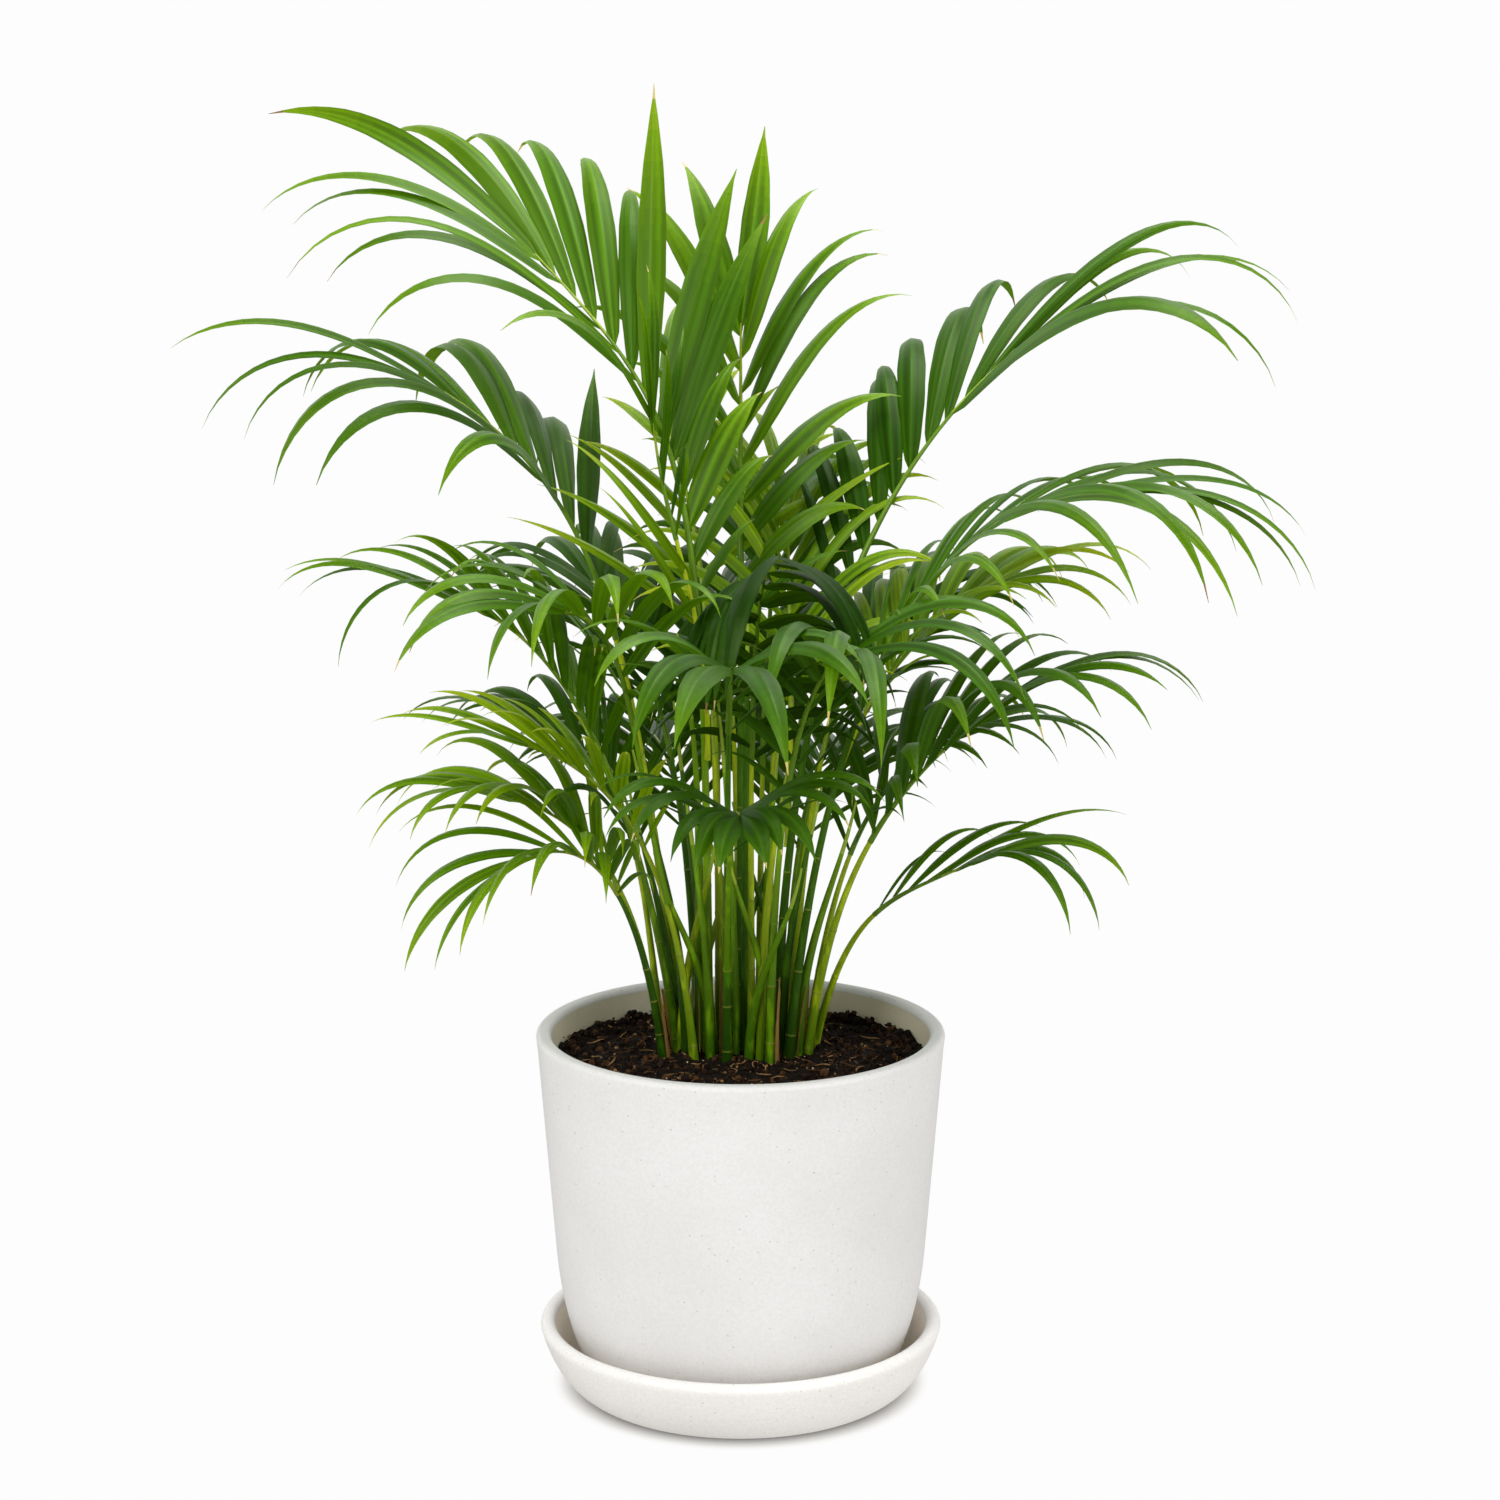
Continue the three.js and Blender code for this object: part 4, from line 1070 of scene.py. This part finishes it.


# Floor, world, lights and camera, in metres
# The floor glows almost white in place of being lit, with a painted contact shadow this close to what stands
# on it
NEAR_REACH = 0.014
FLOOR_SHADOW_TONES = [(0.0, (0.10, 0.095, 0.09, 1)), (0.35, (0.62, 0.60, 0.575, 1)),
               (0.7, (0.93, 0.92, 0.905, 1)), (0.97, grey(0.982))]


def make_floor():
    h = 30.0
    mesh = bpy.data.meshes.new("floor")
    mesh.from_pydata([(-h, -h, 0), (h, -h, 0), (h, h, 0), (-h, h, 0)], [], [(0, 1, 2, 3)])
    floor = new_object("floor", mesh)
    nodes = new_material("floor_pale")
    # Painted contact shadow: an occlusion test darkens the floor's glow next to what stands on it
    contact_shadow = nodes.add("AmbientOcclusion", Distance=NEAR_REACH)
    contact_shadow.samples = 12
    shown = nodes.glow("Emission", nodes.ramp(contact_shadow.outputs["AO"], FLOOR_SHADOW_TONES))
    # The floor glows to light the plant from below, as a lit white floor would, and dimly in reflections
    bounce = nodes.glow("Emission", (0.85, 0.835, 0.81, 1))
    mirrored = nodes.glow("Emission", grey(0.12))
    path = nodes.add("LightPath").outputs
    unseen = nodes.either(path["Is Glossy Ray"], bounce, mirrored)
    mesh.materials.append(nodes.end("OutputMaterial", nodes.either(path["Is Camera Ray"], unseen, shown)))


def make_world():
    """Almost white as a backdrop, even as a light, and mirrored as bright behind and dark in front."""
    world = bpy.data.worlds.new("studio")
    bpy.context.scene.world = world
    nodes = Nodes(world)
    seen = nodes.glow("Background", grey(0.982))
    soft = nodes.glow("Background", grey(1.0), 0.81)
    behind = nodes.stretch(nodes.axis("Generated", "Y"), 0.2, 0.85, low=0.04, high=1.3)
    mirrored = nodes.glow("Background", grey(1.0), behind)
    path = nodes.add("LightPath").outputs
    shining = nodes.either(path["Is Glossy Ray"], soft, mirrored)
    nodes.end("OutputWorld", nodes.either(path["Is Camera Ray"], shining, seen))


def area_light(name, place, aim, size, power):
    light = bpy.data.lights.new(name, "AREA")
    light.shape = "SQUARE"
    light.size = size
    light.energy = power
    lamp = new_object(name, light)
    lamp.location = place
    direction = np.array(aim, float) - np.array(place, float)
    flat = math.hypot(direction[0], direction[1])
    lamp.rotation_euler = (math.atan2(flat, -direction[2]), 0, math.atan2(-direction[0], direction[1]))


make_floor()
make_world()
area_light("key", (-1.5, -2.0, 2.3), (0, 0, 0.4), 1.6, 50)
area_light("top", (0.3, 0.2, 2.5), (0, 0, 0.6), 1.2, 30)
area_light("fill", (2.3, -1.6, 0.9), (0, 0, 0.3), 1.6, 22)

CAMERA_PLACE = (0.0069, -2.481, 0.979)
CAMERA_TILT = 78.62
camera_data = bpy.data.cameras.new("camera")
camera_data.sensor_width = 36
camera_data.lens = 84
camera = new_object("camera", camera_data)
camera.location = CAMERA_PLACE
camera.rotation_euler = (math.radians(CAMERA_TILT), 0, 0)
bpy.context.scene.camera = camera
bpy.context.scene.view_settings.view_transform = "Standard"
